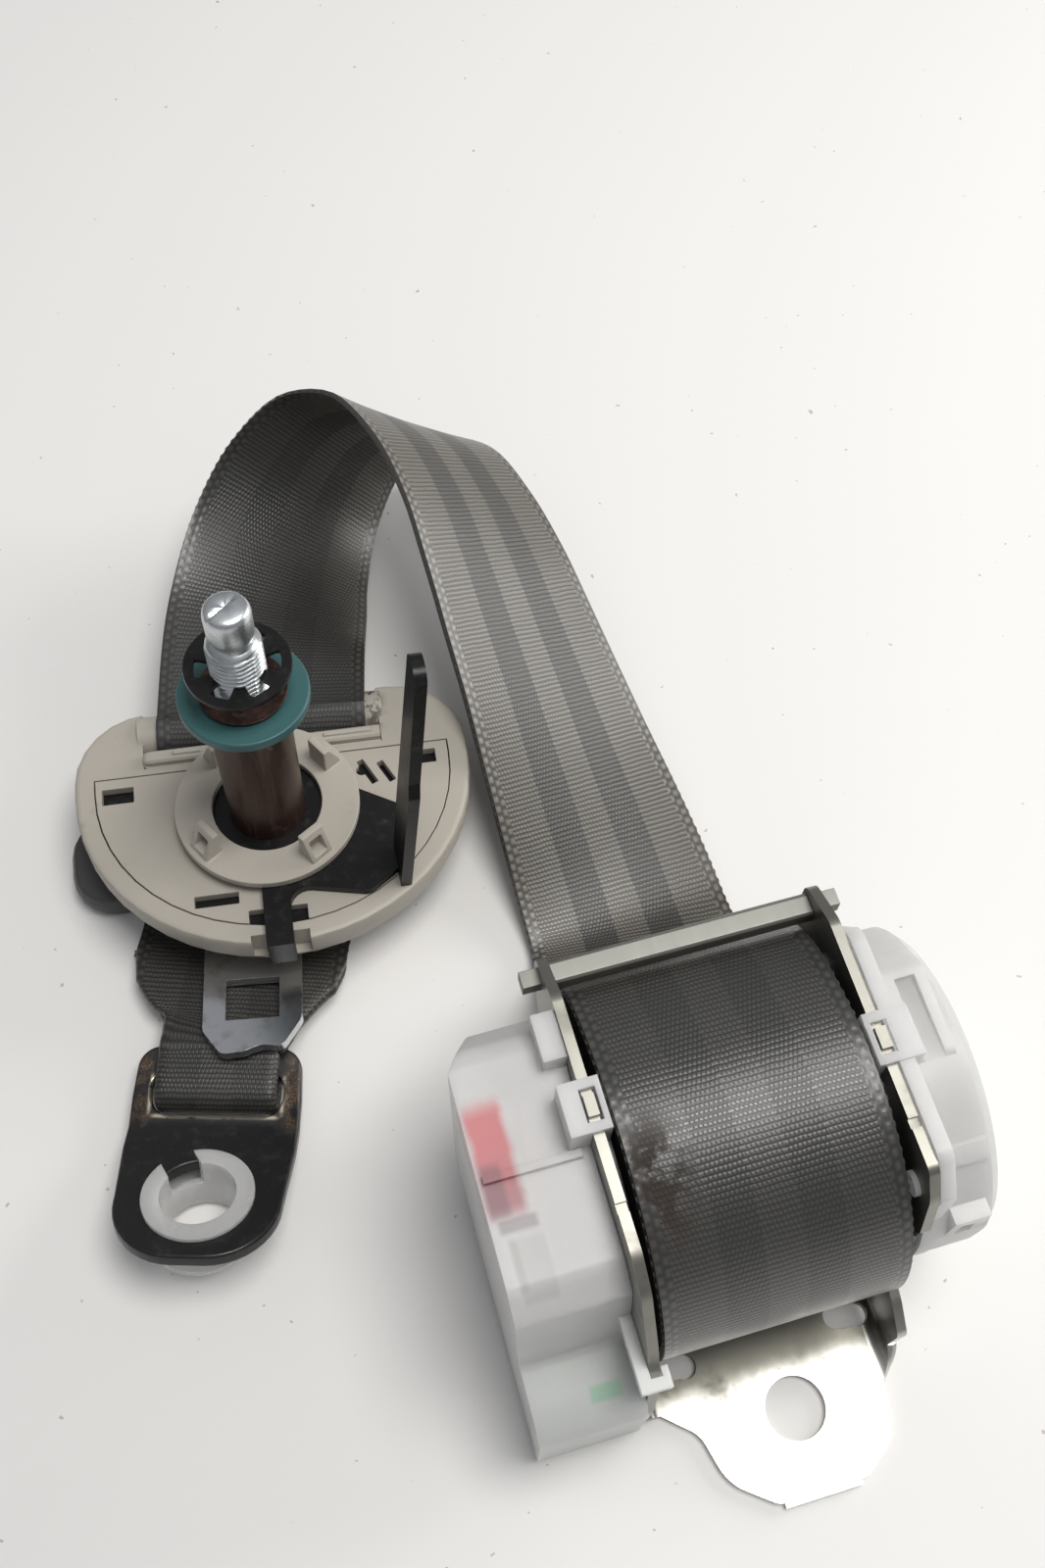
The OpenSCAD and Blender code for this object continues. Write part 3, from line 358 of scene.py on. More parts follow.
def bolt_finish():
    """Blue-white zinc on the bolt, with duller blotches."""
    f = Finish("bolt plating")
    point = f.place()
    streak = f.grain(point, 700.0, 4.0, 0.6)
    blotch = f.grain(point, 180.0, 3.0)
    base = f.mix(blotch.ramp(0.45, 0.7), (0.62, 0.65, 0.66), (0.42, 0.45, 0.45))
    return f.surface(base, 0.2 + streak * 0.2, f.bump(streak, 0.00003, 0.5), Metallic=0.95)


def steel_finish():
    """Oiled steel of the works inside."""
    f = Finish("oiled steel")
    point = f.place()
    turn = f.grain(point, 600.0, 3.0, 0.6, (1.0, 0.2, 1.0))
    base = f.mix(turn, (0.32, 0.32, 0.33), (0.5, 0.5, 0.5))
    return f.surface(base, 0.3 + turn * 0.2, f.bump(turn, 0.00002), Metallic=0.9)


def chrome_finish():
    """Polished blade with fine draw lines and rubbed spots."""
    f = Finish("blade chrome")
    point = f.place(TONGUE_M)
    line = f.grain(point, 2.2, 3.0, 0.6, (3.0, 0.12, 1.0))
    rub = f.grain(f.place(), 220.0, 4.0, 0.6)
    base = f.mix(rub.ramp(0.5, 0.75), (0.64, 0.65, 0.67), (0.44, 0.44, 0.45))
    return f.surface(base, 0.1 + line * 0.12 + rub * 0.08, f.bump(line + rub, 0.00002, 0.35), Metallic=1.0)


def paint_finish(look, name, worn, gloss):
    """Satin black paint with orange peel; worn is a mask maker for bare places."""
    f = Finish(name)
    point = f.place()
    peel = f.grain(point, 1500.0, 2.0)
    dust = f.grain(point, 300.0, 4.0, 0.65)
    base = f.mix(dust.ramp(0.5, 0.8) * 0.5, look.black, (0.045, 0.043, 0.04))
    bare, tint, metal = worn(f, dust)
    base = f.mix(bare, base, tint)
    rough = 0.26 + dust * 0.16 - bare * 0.04
    return f.surface(
        base, rough, f.bump(peel + dust * 0.6 - bare * 0.4, 0.00006, 0.6), Metallic=bare * metal,
        Specular_IOR_Level=gloss,
    )


def no_wear(f, dust):
    return dust.ramp(0.66, 0.74) * 0.3, (0.12, 0.1, 0.085), 0.3


def anchor_wear(f, dust):
    """Bronze rub beside the slot and a bright rubbed rim in it."""
    x, y, _ = f.axes(f.place(ANCHOR_M))
    side = x.absolute()
    arm = side.ramp(13.6, 15.2) * (1 - side.ramp(17.0, 18.2)) * y.ramp(-2.0, 3.0) * (1 - y.ramp(13.0, 18.0))
    rim = (1 - (side - 14.2).absolute().ramp(0.0, 0.8)) * y.ramp(1.5, 3.5) * (1 - y.ramp(10.5, 12.5))
    lip = (1 - (y - 2.2).absolute().ramp(0.0, 0.8)) * (1 - side.ramp(12.5, 14.6))
    bright = rim.most(lip) * dust.ramp(0.3, 0.5)
    rub = arm * dust.ramp(0.38, 0.62) * 0.75
    spark = f.grain(f.place(), 2600.0, 2.0, 0.6)
    tint = f.mix(spark.ramp(0.45, 0.75), (0.1, 0.066, 0.042), (0.34, 0.26, 0.19))
    tint = f.mix(bright, tint, (0.56, 0.5, 0.4))
    return rub.most(bright * 0.9), tint, 0.85


def sleeve_finish(look):
    """Brown phosphate sleeve with lengthwise streaks and lighter rubs."""
    f = Finish("sleeve phosphate")
    point = f.place(GUIDE_M)
    streak = f.grain(point, 0.9, 4.0, 0.6, (1.0, 1.0, 0.08))
    blotch = f.grain(point, 0.35, 4.0, 0.6)
    base = f.mix(streak.ramp(0.45, 0.75), look.sleeve, (0.1, 0.055, 0.04))
    base = f.mix(blotch.ramp(0.62, 0.72) * 0.5, base, (0.2, 0.15, 0.12))
    return f.surface(base, 0.26 + streak * 0.2, f.bump(streak + blotch, 0.00004, 0.5), Metallic=0.55)


def moulded_finish(name, tone, dirt, spread, rough):
    """Moulded plastic with fine spark grain, faint flow marks and dirt."""
    f = Finish(name)
    point = f.place()
    spark = f.grain(point, 3800.0, 2.0, 0.6)
    flow = f.grain(point, 48.0, 3.0, 0.55)
    soil = f.grain(point, 130.0, 5.0, 0.68)
    shade = tuple(c * 0.86 for c in tone)
    base = f.mix(flow, tone, shade)
    base = f.mix(soil.ramp(0.56, 0.8) * spread, base, dirt)
    return f.surface(base, rough + (spark - 0.5) * 0.16, f.bump(spark + soil * 0.3, 0.00005, 0.5))


def guide_finish(look):
    """Warm grey moulding, with brown soil where the webbing bar meets the body."""
    f = Finish("guide moulding")
    point = f.place()
    spark = f.grain(point, 3600.0, 2.0, 0.6)
    flow = f.grain(point, 40.0, 3.0, 0.55)
    soil = f.grain(point, 240.0, 5.0, 0.7)
    x, y, _ = f.axes(f.place(GUIDE_M))
    near_bar = y.ramp(17.0, 24.0) * x.ramp(12.0, 20.0) * (1 - x.ramp(26.0, 30.0))
    base = f.mix(flow, look.guide, tuple(c * 0.85 for c in look.guide))
    base = f.mix(soil.ramp(0.6, 0.78) * 0.3, base, (0.16, 0.13, 0.1))
    base = f.mix(near_bar * soil.ramp(0.5, 0.58) * 0.9, base, (0.05, 0.035, 0.025))
    return f.surface(base, 0.5 + (spark - 0.5) * 0.16, f.bump(spark + soil * 0.3, 0.00006, 0.5))


def no_tint(f, base):
    return base


def works_tint(f, base):
    """Colours of the works that shine through the sensor cover: red disc, grey lever box, green sensor."""
    x, y, z = f.axes(f.place(Matrix.Identity(4)))
    upper = z.ramp(48.0, 56.0)
    edge = (f.grain(f.place(), 160.0, 3.0) - 0.5) * 2.0
    across = (x + edge).ramp(-53.4, -51.0) * (1 - (x + edge).ramp(-46.2, -44.0))
    red = across * y.ramp(37.5, 41.5) * (1 - (y + edge).ramp(57.0, 61.5)) * upper
    shade = f.mix(y.ramp(42.0, 52.0), (0.5, 0.06, 0.1), (0.9, 0.05, 0.08))
    base = f.mix(red * 0.75, base, shade)
    dark = (1 - (x + 50.0).absolute().ramp(1.2, 2.6)) * (1 - (y - 44.0).absolute().ramp(3.6, 5.6))
    bar = (1 - (x + 47.5).absolute().ramp(2.8, 4.2)) * (1 - (y - 37.8).absolute().ramp(0.6, 1.8))
    base = f.mix(dark.most(bar) * upper * 0.5, base, (0.2, 0.14, 0.17))
    box = (1 - (x + 46.8).absolute().ramp(2.6, 3.6)) * (1 - (y - 30.0).absolute().ramp(4.6, 6.0))
    rim = (1 - (x + 49.4).absolute().ramp(0.3, 1.2)) * (1 - (y - 31.0).absolute().ramp(3.6, 5.2))
    base = f.mix((box * 0.2 + rim * 0.25) * z.ramp(40.0, 46.0), base, (0.36, 0.34, 0.33))
    low = 1 - y.ramp(17.0, 21.0)
    base = f.mix(low * 0.25, base, (0.78, 0.93, 0.82))
    spot = (1 - (x + 38.4).absolute().ramp(2.4, 3.6)) * (1 - (y - 10.6).absolute().ramp(0.9, 2.0))
    return f.mix(spot * z.ramp(20.0, 26.0) * 0.5, base, (0.26, 0.78, 0.4))


def milky_finish(name, tone, clear, rough, tinted=no_tint):
    """Milky translucent moulding; tinted adds what shines through it."""
    f = Finish(name)
    point = f.place()
    spark = f.grain(point, 2400.0, 2.0, 0.6)
    cloud = f.grain(point, 70.0, 4.0, 0.6)
    base = tinted(f, f.mix(cloud.ramp(0.3, 0.8), tone, tuple(c * 0.93 for c in tone)))
    return f.surface(
        base, rough + cloud * 0.08, f.bump(spark + cloud, 0.00006, 0.4), Transmission_Weight=clear, IOR=1.42,
        Specular_IOR_Level=0.4, Subsurface_Weight=0.7, Subsurface_Scale=0.006,
        Subsurface_Radius=(1.0, 1.0, 1.0),
    )


# Mesh helpers
def finished(name, mesh, finish, body, *nodes, sharp=38.0, slot=None):
    """Links a piece, shades it, lets it ride on its body and stand for its nodes."""
    piece = bpy.data.objects.new(name, mesh)
    bpy.context.scene.collection.objects.link(piece)
    mesh.materials.append(finish)
    if sharp:
        for face in mesh.polygons:
            face.use_smooth = True
        mesh.set_sharp_from_angle(angle=math.radians(sharp))
    if body:
        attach(piece, body)
    if nodes:
        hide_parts(*nodes)
    return piece


def settled(piece):
    """Turns a piece with modifiers into a plain mesh."""
    bpy.context.view_layer.update()
    graph = bpy.context.evaluated_depsgraph_get()
    mesh = bpy.data.meshes.new_from_object(piece.evaluated_get(graph))
    bpy.data.objects.remove(piece)
    return mesh


def softened(node, finish, width, segments=2):
    """A copy of a node with rounded edges, standing for the node."""
    form = bmesh.new()
    form.from_mesh(frame["nodes"][node].data)
    bmesh.ops.remove_doubles(form, verts=form.verts, dist=2e-6)
    bmesh.ops.dissolve_limit(form, angle_limit=math.radians(0.6), verts=form.verts, edges=form.edges)
    for face in form.faces:
        face.smooth = True
    mesh = bpy.data.meshes.new(node + "_form")
    form.to_mesh(mesh)
    form.free()
    piece = bpy.data.objects.new(node + "_form", mesh)
    bpy.context.scene.collection.objects.link(piece)
    round_edges = piece.modifiers.new("round", "BEVEL")
    round_edges.limit_method = "ANGLE"
    round_edges.angle_limit = math.radians(32.0)
    round_edges.width = width
    round_edges.segments = segments
    round_edges.use_clamp_overlap = True
    round_edges.miter_outer = "MITER_ARC"
    even = piece.modifiers.new("even", "WEIGHTED_NORMAL")
    even.weight = 60
    return finished(node + "_piece", settled(piece), finish, BODY_OF[node], node, sharp=None)


def repaint(node, finish):
    mesh = frame["nodes"][node].data
    mesh.materials.clear()
    mesh.materials.append(finish)


def skinned(rings, closed_ends=True):
    """Faces over rings of points, each ring joined to the next."""
    count = len(rings[0])
    points = [p for ring in rings for p in ring]
    faces = []
    for i in range(len(rings) - 1):
        for j in range(count):
            k = (j + 1) % count
            faces.append((i * count + j, i * count + k, (i + 1) * count + k, (i + 1) * count + j))
    if closed_ends:
        faces.append(tuple(range(count - 1, -1, -1)))
        faces.append(tuple((len(rings) - 1) * count + j for j in range(count)))
    return points, faces


def hoop(rings):
    """Skin over rings whose last is joined back to the first, as for a torus."""
    points, faces = skinned(rings, closed_ends=False)
    count = len(rings[0])
    last = (len(rings) - 1) * count
    faces += [(last + j, last + (j + 1) % count, (j + 1) % count, j) for j in range(count)]
    return points, faces


def built(name, points, faces):
    """A mesh whose faces all look outward."""
    mesh = bpy.data.meshes.new(name)
    mesh.from_pydata(points, [], faces)
    form = bmesh.new()
    form.from_mesh(mesh)
    bmesh.ops.recalc_face_normals(form, faces=form.faces)
    form.to_mesh(mesh)
    form.free()
    return mesh


# Webbing route in millimetres, as in the solid but lower where the blade passes over the anchor's loop
def roll_point(angle, radius):
    a = math.radians(angle)
    return (SPOOL_X, SPOOL_Y + radius * math.cos(a), SPOOL_Z + radius * math.sin(a)), (1, 0, 0), 0.0


def bar_point(angle, shift):
    a = math.radians(angle)
    place = GUIDE @ Vector((shift, BAR_Y + BAR_TURN_R * math.cos(a), BAR_Z + BAR_TURN_R * math.sin(a)))
    return tuple(place), tuple(GUIDE.to_3x3().col[0]), 0.0


def loop_point(y, share):
    rise = share * (LOOP_UPPER if share > 0 else LOOP_LOWER)
    place = ANCHOR @ Vector((0.0, y, LOOP_MIDDLE + rise))
    return tuple(place), tuple(ANCHOR.to_3x3().col[0]), 1.0


def tail_point(x, y, fold):
    place = ANCHOR @ Vector((x, y, LOOP_MIDDLE - LOOP_LOWER))
    return tuple(place), tuple(ANCHOR.to_3x3().col[0]), fold


def belt_route():
    """Points along the webbing: place, direction across and fold share."""
    snug = ROLL_R - BELT_T / 2
    clear = ROLL_R + 0.3 + BELT_T / 2
    wound = [roll_point(a, snug) for a in range(300, 70, -10)]
    leaving = [roll_point(a, snug + (clear - snug) * (68 - a) / 24) for a in (68, 60, 52)]
    free = [
        ((-3.6, 86.6, 40.0), (1, 0, 0), 0),
        ((-3.0, 90.5, 29.0), (1, 0, 0), 0),
        ((-2.0, 94.8, 17.5), (1, -0.01, 0), 0),
        ((-1.0, 99.8, 8.0), (1, -0.02, 0), 0),
        ((-0.2, 108.0, 3.0), (1, 0, -0.04), 0),
        ((-0.5, 120.0, 4.4), (0.99, 0.06, -0.11), 0),
        ((-1.5, 135.5, 9.0), (0.96, 0.14, -0.24), 0),
        ((-2.8, 150.5, 14.0), (0.92, 0.19, -0.35), 0),
        ((-4.1, 165.5, 19.6), (0.87, 0.24, -0.43), 0),
        ((-5.6, 181.0, 25.0), (0.83, 0.26, -0.49), 0),
        ((-7.2, 196.0, 30.6), (0.79, 0.28, -0.55), 0),
        ((-9.5, 211.5, 35.2), (0.73, 0.29, -0.62), 0),
        ((-14.0, 227.0, 37.4), (0.68, 0.27, -0.68), 0),
        ((-22.5, 239.0, 34.4), (0.61, 0.17, -0.77), 0),
        ((-35.0, 242.4, 26.6), (0.6, -0.02, -0.8), 0),
        ((-46.5, 235.0, 19.0), (0.67, -0.22, -0.71), 0),
        ((-55.0, 222.0, 15.6), (0.78, -0.34, -0.52), 0),
        ((-60.8, 207.5, 16.4), (0.88, -0.36, -0.29), 0),
        ((-65.0, 193.5, 19.8), (0.95, -0.3, -0.1), 0),
    ]
    lap = [
        ((-72.1, 165.5, 11.8), (0.99, -0.135, -0.026), 0),
        ((-73.2, 162.8, 8.7), (0.982, -0.18, -0.02), 0),
        ((-74.8, 159.3, 7.8), (0.966, -0.25, -0.01), 0),
        ((-76.8, 154.4, 7.3), (0.962, -0.27, 0), 0),
        ((-78.5, 149.6, 5.1), (0.965, -0.26, 0), 0),
        ((-80.2, 144.4, 2.6), (0.966, -0.255, 0), 0),
        ((-82.2, 137.5, 1.7), (0.965, -0.26, 0), 0),
        ((-84.4, 130.5, 3.0), (0.96, -0.27, 0), 0),
        ((-86.8, 124.0, 5.0), (0.96, -0.28, 0), 0.03),
        ((-89.6, 116.5, 6.9), (0.956, -0.29, 0), 0.22),
        ((-92.4, 108.5, 8.5), (0.956, -0.292, 0), 0.8),
    ]
    left = [roll_point(a, clear) for a in (44, 36, 28, 20)]
    round_bar = ((66, 0.7), (100, 0.4), (135, 0.1), (165, -0.15), (190, -0.35))
    bar = [bar_point(angle, shift) for angle, shift in round_bar]
    upper = ((18.15, 1), (14.6, 1), (8.6, 1), (5.6, 0.8), (4.3, 0.3))
    lower = ((4.3, -0.3), (5.6, -0.8), (8.6, -1), (14.6, -1))
    loop = [loop_point(y, share) for y, share in upper + lower]
    tail = [tail_point(0.0, 24.0, 0.9), tail_point(0.4, 33.0, 0.4), tail_point(0.6, 41.0, 0.03)]
    return wound + leaving + left + free + bar + lap + loop + tail


def smooth_step(a, b, c, d, t):
    """Place at share t between b and c, on a smooth curve through all four."""
    square = (2 * a - 5 * b + 4 * c - d) * t * t
    cube = (3 * b - a - 3 * c + d) * t ** 3
    return 0.5 * (2 * b + (c - a) * t + square + cube)


# Rings of points from one point of the route to the next
STEPS = 5


def belt_stations():
    """The route with more places between its points, one for each ring."""
    route = [(Vector(p), Vector(w), f) for p, w, f in belt_route()]
    last = len(route) - 1

    def at(i):
        return route[max(0, min(last, i))]

    out = []
    for i in range(last):
        for k in range(STEPS):
            t = k / STEPS
            near = [at(i + n) for n in (-1, 0, 1, 2)]
            place, wide = [smooth_step(*[n[j] for n in near], t) for j in (0, 1)]
            out.append((place, wide, near[1][2] * (1 - t) + near[2][2] * t))
    out.append(route[last])
    return out


def belt_section(fold, columns=16, fold_r=0.8, fold_in=11.8):
    """Points (x, y, turn, developed place) across the webbing, edges folded under by the fold share."""
    half = BELT_W / 2 - max(0.3, fold * fold_in)
    arc = min(math.pi * fold_r, (BELT_W / 2 - half) * 0.9)
    rest = BELT_W / 2 - half - arc
    run = []
    for k in range(1, 6):
        turn = arc * k / 5 / fold_r
        run.append((half + fold_r * math.sin(turn), -fold_r * (1 - math.cos(turn)), turn, half + arc * k / 5))
    x, y, turn, _ = run[-1]
    run.append((x + rest * math.cos(turn), y - rest * math.sin(turn), turn, BELT_W / 2))
    flat = [-half + 2 * half * k / columns for k in range(columns + 1)]
    middle = [(x, 0.0, 0.0, x) for x in flat]
    return [(-x, y, -g, -d) for x, y, g, d in reversed(run)] + middle + run


def belt_rings():
    """Rings of points round the webbing, and the place of each point on the flat webbing."""
    stations = belt_stations()
    rings, places, travelled = [], [], 0.0
    for i, (centre, wide, fold) in enumerate(stations):
        before = stations[max(0, i - 1)][0]
        after = stations[min(len(stations) - 1, i + 1)][0]
        run = (after - before).normalized()
        across = (wide - wide.dot(run) * run).normalized()
        up = run.cross(across)
        if i:
            travelled += (centre - before).length
        line = belt_section(fold)

        def side(skin):
            return [centre + across * (x + skin * math.sin(turn)) + up * (y + skin * math.cos(turn))
                    for x, y, turn, _ in line]

        rings.append(side(BELT_T / 2) + side(-BELT_T / 2)[::-1])
        places.append([(flat + BELT_W / 2, travelled) for _, _, _, flat in line + line[::-1]])
    return rings, places


# Stretches of the webbing: name, first and last point on the route, and the moving end at its far side,
# with the place where it would start to follow that end and the place from which it would fully do so
STRETCHES = (
    ("webbing", 0, 54, None, None, None),
    ("webbing_grip", 54, 58, "tongue", (-72.0, 166.0, 12.4), (-74.8, 159.3, 7.8)),
    ("webbing_lap", 58, 64, "tongue", (-92.4, 108.5, 8.9), (-89.6, 116.5, 6.9)),
    ("webbing_loop", 64, 76, "anchor", (-92.4, 108.5, 5.4), (-94.4, 102.8, 5.4)),
)


def stretch_of(rows, first, last):
    """The rows from one point of the route to another."""
    return rows[first * STEPS:last * STEPS + 1]


def follow(piece, end):
    """Lets a stretch ride on the retractor; a stretch with a moving end only gets its place baked into its
    mesh.
    """
    if end is None:
        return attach(piece, "retractor")
    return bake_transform(piece)


class BELT_OT_webbing(bpy.types.Operator):
    """Webbing from the wound roll through the guide and tongue to the anchor"""

    bl_idname = "belt.webbing"
    bl_label = "Webbing"

    def execute(self, context):
        scene = context.scene
        look, sizes = scene.belt_colours, scene.belt_sizes
        shoulder = webbing_finish(look, sizes, "shoulder webbing", 0.62, 0.5)
        lap = webbing_finish(look, sizes, "lap webbing", 0.4, 0.1)
        rings, places = belt_rings()
        for name, first, last, end, start, full in STRETCHES:
            points, faces = skinned([[p * MM for p in ring] for ring in stretch_of(rings, first, last)])
            mesh = built(name + "_piece", points, faces)
            uv = mesh.uv_layers.new(name="weave")
            own_places = stretch_of(places, first, last)
            flat_places = [place for ring in own_places for place in ring]
            for loop in mesh.loops:
                across, along = flat_places[loop.vertex_index]
                uv.data[loop.index].uv = (across * MM, along * MM)
            nodes = ["webbing"] if first == 0 else []
            finish = lap if end else shoulder
            piece = finished(name + "_piece", mesh, finish, None, *nodes, sharp=50.0, slot="webbing")
            follow(piece, end)
            run = own_places[-1][0][1] - own_places[0][0][1]
            run * MM
        return {"FINISHED"}


class BELT_OT_roll(bpy.types.Operator):
    """Turns of webbing wound on the spool, with their edges at both sides"""

    bl_idname = "belt.roll"
    bl_label = "Wound roll"

    def execute(self, context):
        segments, turns = 128, 17
        inner, outer = CORE_R + 0.02, ROLL_R - BELT_T - 0.15
        crest, dip = 0.12, 0.35
        profile = []
        for k in range(2 * turns + 1):
            radius = inner + (outer - inner) * k / (2 * turns)
            profile.append((-BELT_W / 2 + (crest if k % 2 else dip), radius))
        profile += [(-x, radius) for x, radius in reversed(profile)]
        rings = []
        for x, radius in profile:
            ring = []
            for j in range(segments):
                a = 2 * math.pi * j / segments
                swell = 1 + 0.0025 * noise.noise(Vector((math.cos(a), math.sin(a), radius * 0.6)))
                y, z = radius * swell * math.cos(a), radius * swell * math.sin(a)
                ring.append(Vector((SPOOL_X + x, SPOOL_Y + y, SPOOL_Z + z)) * MM)
            rings.append(ring)
        mesh = built("roll_piece", *hoop(rings))
        finish = roll_edge_finish(context.scene.belt_colours)
        finished("roll_piece", mesh, finish, "spool_set", "webbing_roll", sharp=60.0, slot="webbing")
        return {"FINISHED"}


class BELT_OT_bolt(bpy.types.Operator):
    """Guide bolt with its rolled thread, dog point and hexagon socket"""

    bl_idname = "belt.bolt"
    bl_label = "Guide bolt"

    def execute(self, context):
        sizes = context.scene.belt_sizes
        pitch, depth = sizes.thread_pitch / MM, sizes.thread_depth / MM
        segments, rows_a_turn = 72, 9
        shank_r, socket_r = 5.55, 3.81
        low, high, run_out = 43.0, 59.4, 0.9
        floor = -9.4

        def hexagon(a):
            return socket_r / math.cos((a % (math.pi / 3)) - math.pi / 6)

        def threaded(h):
            """Radius all round at one height: the thread fades in, and tapers at its end."""
            fade = max(0.0, min(1.0, h - low, (high - h) / run_out))
            taper = 0.5 * (1 - min(1.0, max(0.0, (high - h) / run_out)))

            def radius(a):
                phase = (h / pitch - a / (2 * math.pi)) % 1.0
                tooth = min(1.0, max(0.0, 1.7 * abs(2 * phase - 1) - 0.28))
                return shank_r - depth * (1 - tooth) * fade - taper
            return radius

        rows = [(hexagon, floor - 1.6), (hexagon, floor - 4.6), (7.9, floor - 4.6), (8.5, floor - 4.4),
                (9.9, floor - 3.2), (10.2, floor - 2.8), (10.2, floor - 0.3), (9.9, floor),
                (shank_r, floor), (shank_r, low)]
        count = int((high - low) / pitch * rows_a_turn)
        heights = [low + (high - low) * (k + 1) / count for k in range(count)]
        rows += [(threaded(h), h) for h in heights]
        rows += [(4.3, 59.9), (4.15, 60.8), (4.4, 61.6), (4.62, 62.6), (4.66, 67.6), (4.5, 68.5), (4.2, 69.1),
                 (3.9, 69.35), (3.2, 69.6), (1.6, 69.75), (0.5, 69.8)]
        rings = []
        for radius, h in rows:
            ring = []
            for j in range(segments):
                a = 2 * math.pi * j / segments
                r = radius(a) if callable(radius) else radius
                spot = Vector((r * math.cos(a), r * math.sin(a), h))
                # Gouge across the point
                if h > 68 and spot.x < 1.5:
                    spot.z -= 0.55 * max(0.0, 1.0 - abs(spot.y - 0.8 * spot.x - 0.6) / 0.7)
                ring.append((GUIDE @ spot) * MM)
            rings.append(ring)
        mesh = built("bolt_piece", *skinned(rings))
        finished("bolt_piece", mesh, bolt_finish(), "bolt", "guide_bolt", sharp=42.0, slot="zinc")
        return {"FINISHED"}


def edge_stitch_tree(finish):
    """Geometry Nodes: small loops of yarn along a line of points."""
    tree = bpy.data.node_groups.new("selvedge loops", "GeometryNodeTree")
    face = tree.interface
    face.new_socket("Geometry", in_out="INPUT", socket_type="NodeSocketGeometry")
    pitch = face.new_socket("Pitch", in_out="INPUT", socket_type="NodeSocketFloat")
    size = face.new_socket("Loop length", in_out="INPUT", socket_type="NodeSocketFloat")
    face.new_socket("Geometry", in_out="OUTPUT", socket_type="NodeSocketGeometry")

    nodes = Nodes(tree)
    line, spacing, reach = nodes.siblings(nodes.node("NodeGroupInput"))[:3]
    curve = nodes.node("GeometryNodeMeshToCurve", None, {"Mesh": line})
    spaced = nodes.node("GeometryNodeResampleCurve", {"mode": "LENGTH"}, {"Curve": curve, "Length": spacing})
    bead = nodes.node("GeometryNodeMeshUVSphere", None, {"Segments": 6, "Rings": 4, "Radius": reach})
    tangent = nodes.node("GeometryNodeInputTangent")
    facing = nodes.node("FunctionNodeAlignRotationToVector", {"axis": "Z"}, {"Vector": tangent})
    loops = nodes.node(
        "GeometryNodeInstanceOnPoints", None,
        {"Points": spaced, "Instance": bead, "Rotation": facing, "Scale": (0.36, 0.36, 1.0)},
    )
    real = nodes.node("GeometryNodeRealizeInstances", None, {"Geometry": loops})
    painted = nodes.node("GeometryNodeSetMaterial", None, {"Geometry": real, "Material": finish})
    nodes.node("NodeGroupOutput", None, {"Geometry": painted})
    return tree, pitch.identifier, size.identifier


class BELT_OT_selvedge(bpy.types.Operator):
    """Yarn loops along both edges of the webbing"""

    bl_idname = "belt.selvedge"
    bl_label = "Selvedge loops"

    def execute(self, context):
        sizes = context.scene.belt_sizes
        rings, _ = belt_rings()
        across = len(rings[0]) // 2
        f = Finish("selvedge yarn")
        fuzz = f.grain(f.place(), 2600.0, 2.0)
        base = f.mix(fuzz, (0.02, 0.021, 0.023), (0.07, 0.069, 0.065))
        finish = f.surface(base, 0.55, f.bump(fuzz, 0.0001), Specular_IOR_Level=0.4)
        tree, pitch, size = edge_stitch_tree(finish)
        for name, first, last, end, start, full in STRETCHES:
            points, edges = [], []
            for column, other in ((0, -1), (across - 1, across)):
                begin = len(points)
                line = [(ring[column] + ring[other]) / 2 * MM for ring in stretch_of(rings, first, last)]
                points += line
                edges += [(begin + i, begin + i + 1) for i in range(len(line) - 1)]
            mesh = bpy.data.meshes.new("selvedge_lines")
            mesh.from_pydata(points, edges, [])
            lines = bpy.data.objects.new("selvedge_lines", mesh)
            context.scene.collection.objects.link(lines)
            modifier = lines.modifiers.new("loops", "NODES")
            modifier.node_group = tree
            modifier[pitch] = sizes.stitch_pitch
            modifier[size] = 0.65 * MM
            piece = finished(name + "_selvedge_piece", settled(lines), finish, None, slot="webbing")
            follow(piece, end)
        return {"FINISHED"}


class BELT_OT_metal(bpy.types.Operator):
    """Plated frame, tie bar and the works inside"""

    bl_idname = "belt.metal"
    bl_label = "Frame and works"

    def execute(self, context):
        look, sizes = context.scene.belt_colours, context.scene.belt_sizes
        zinc = zinc_finish(look, "zinc sheet", 1.0)
        softened("frame", zinc, sizes.edge)
        self.corner(zinc)
        softened("tie_bar", zinc_finish(look, "zinc bar", 0.0), sizes.edge)
        steel = steel_finish()
        for node in (
            "torsion_bar", "ratchet_wheel", "lock_pawl", "sensor_ball", "power_spring", "spool", "pawl_pin",
        ):
            repaint(node, steel)
        repaint("guide_loop", paint_finish(look, "loop paint", no_wear, 0.28))
        return {"FINISHED"}

    def corner(self, zinc):
        """Slanted start of the right bend, from the tab's edge up to the side plate."""
        bend_x, bend_r, sheet, bend_y, slant_y = 18.5, 5.0, 2.0, 6.1, -1.0
        edge, overlap, steps = 0.3, 0.4, 12
        middle_r = bend_r - sheet / 2
        rings = []
        for k in range(steps + 1):
            turn = math.pi / 2 * k / steps
            start = slant_y + (bend_y - overlap - slant_y) * k / steps
            outline = (
                (bend_r, start + edge), (bend_r, bend_y),
                (bend_r - sheet, bend_y), (bend_r - sheet, start + edge),
                (middle_r - edge, start), (middle_r + edge, start),
            )
            rings.append([
                Vector((bend_x + radius * math.sin(turn), y, bend_r - radius * math.cos(turn))) * MM
                for radius, y in outline
            ])
        mesh = built("frame_corner_piece", *skinned(rings))
        finished("frame_corner_piece", mesh, zinc, "retractor", slot="zinc")


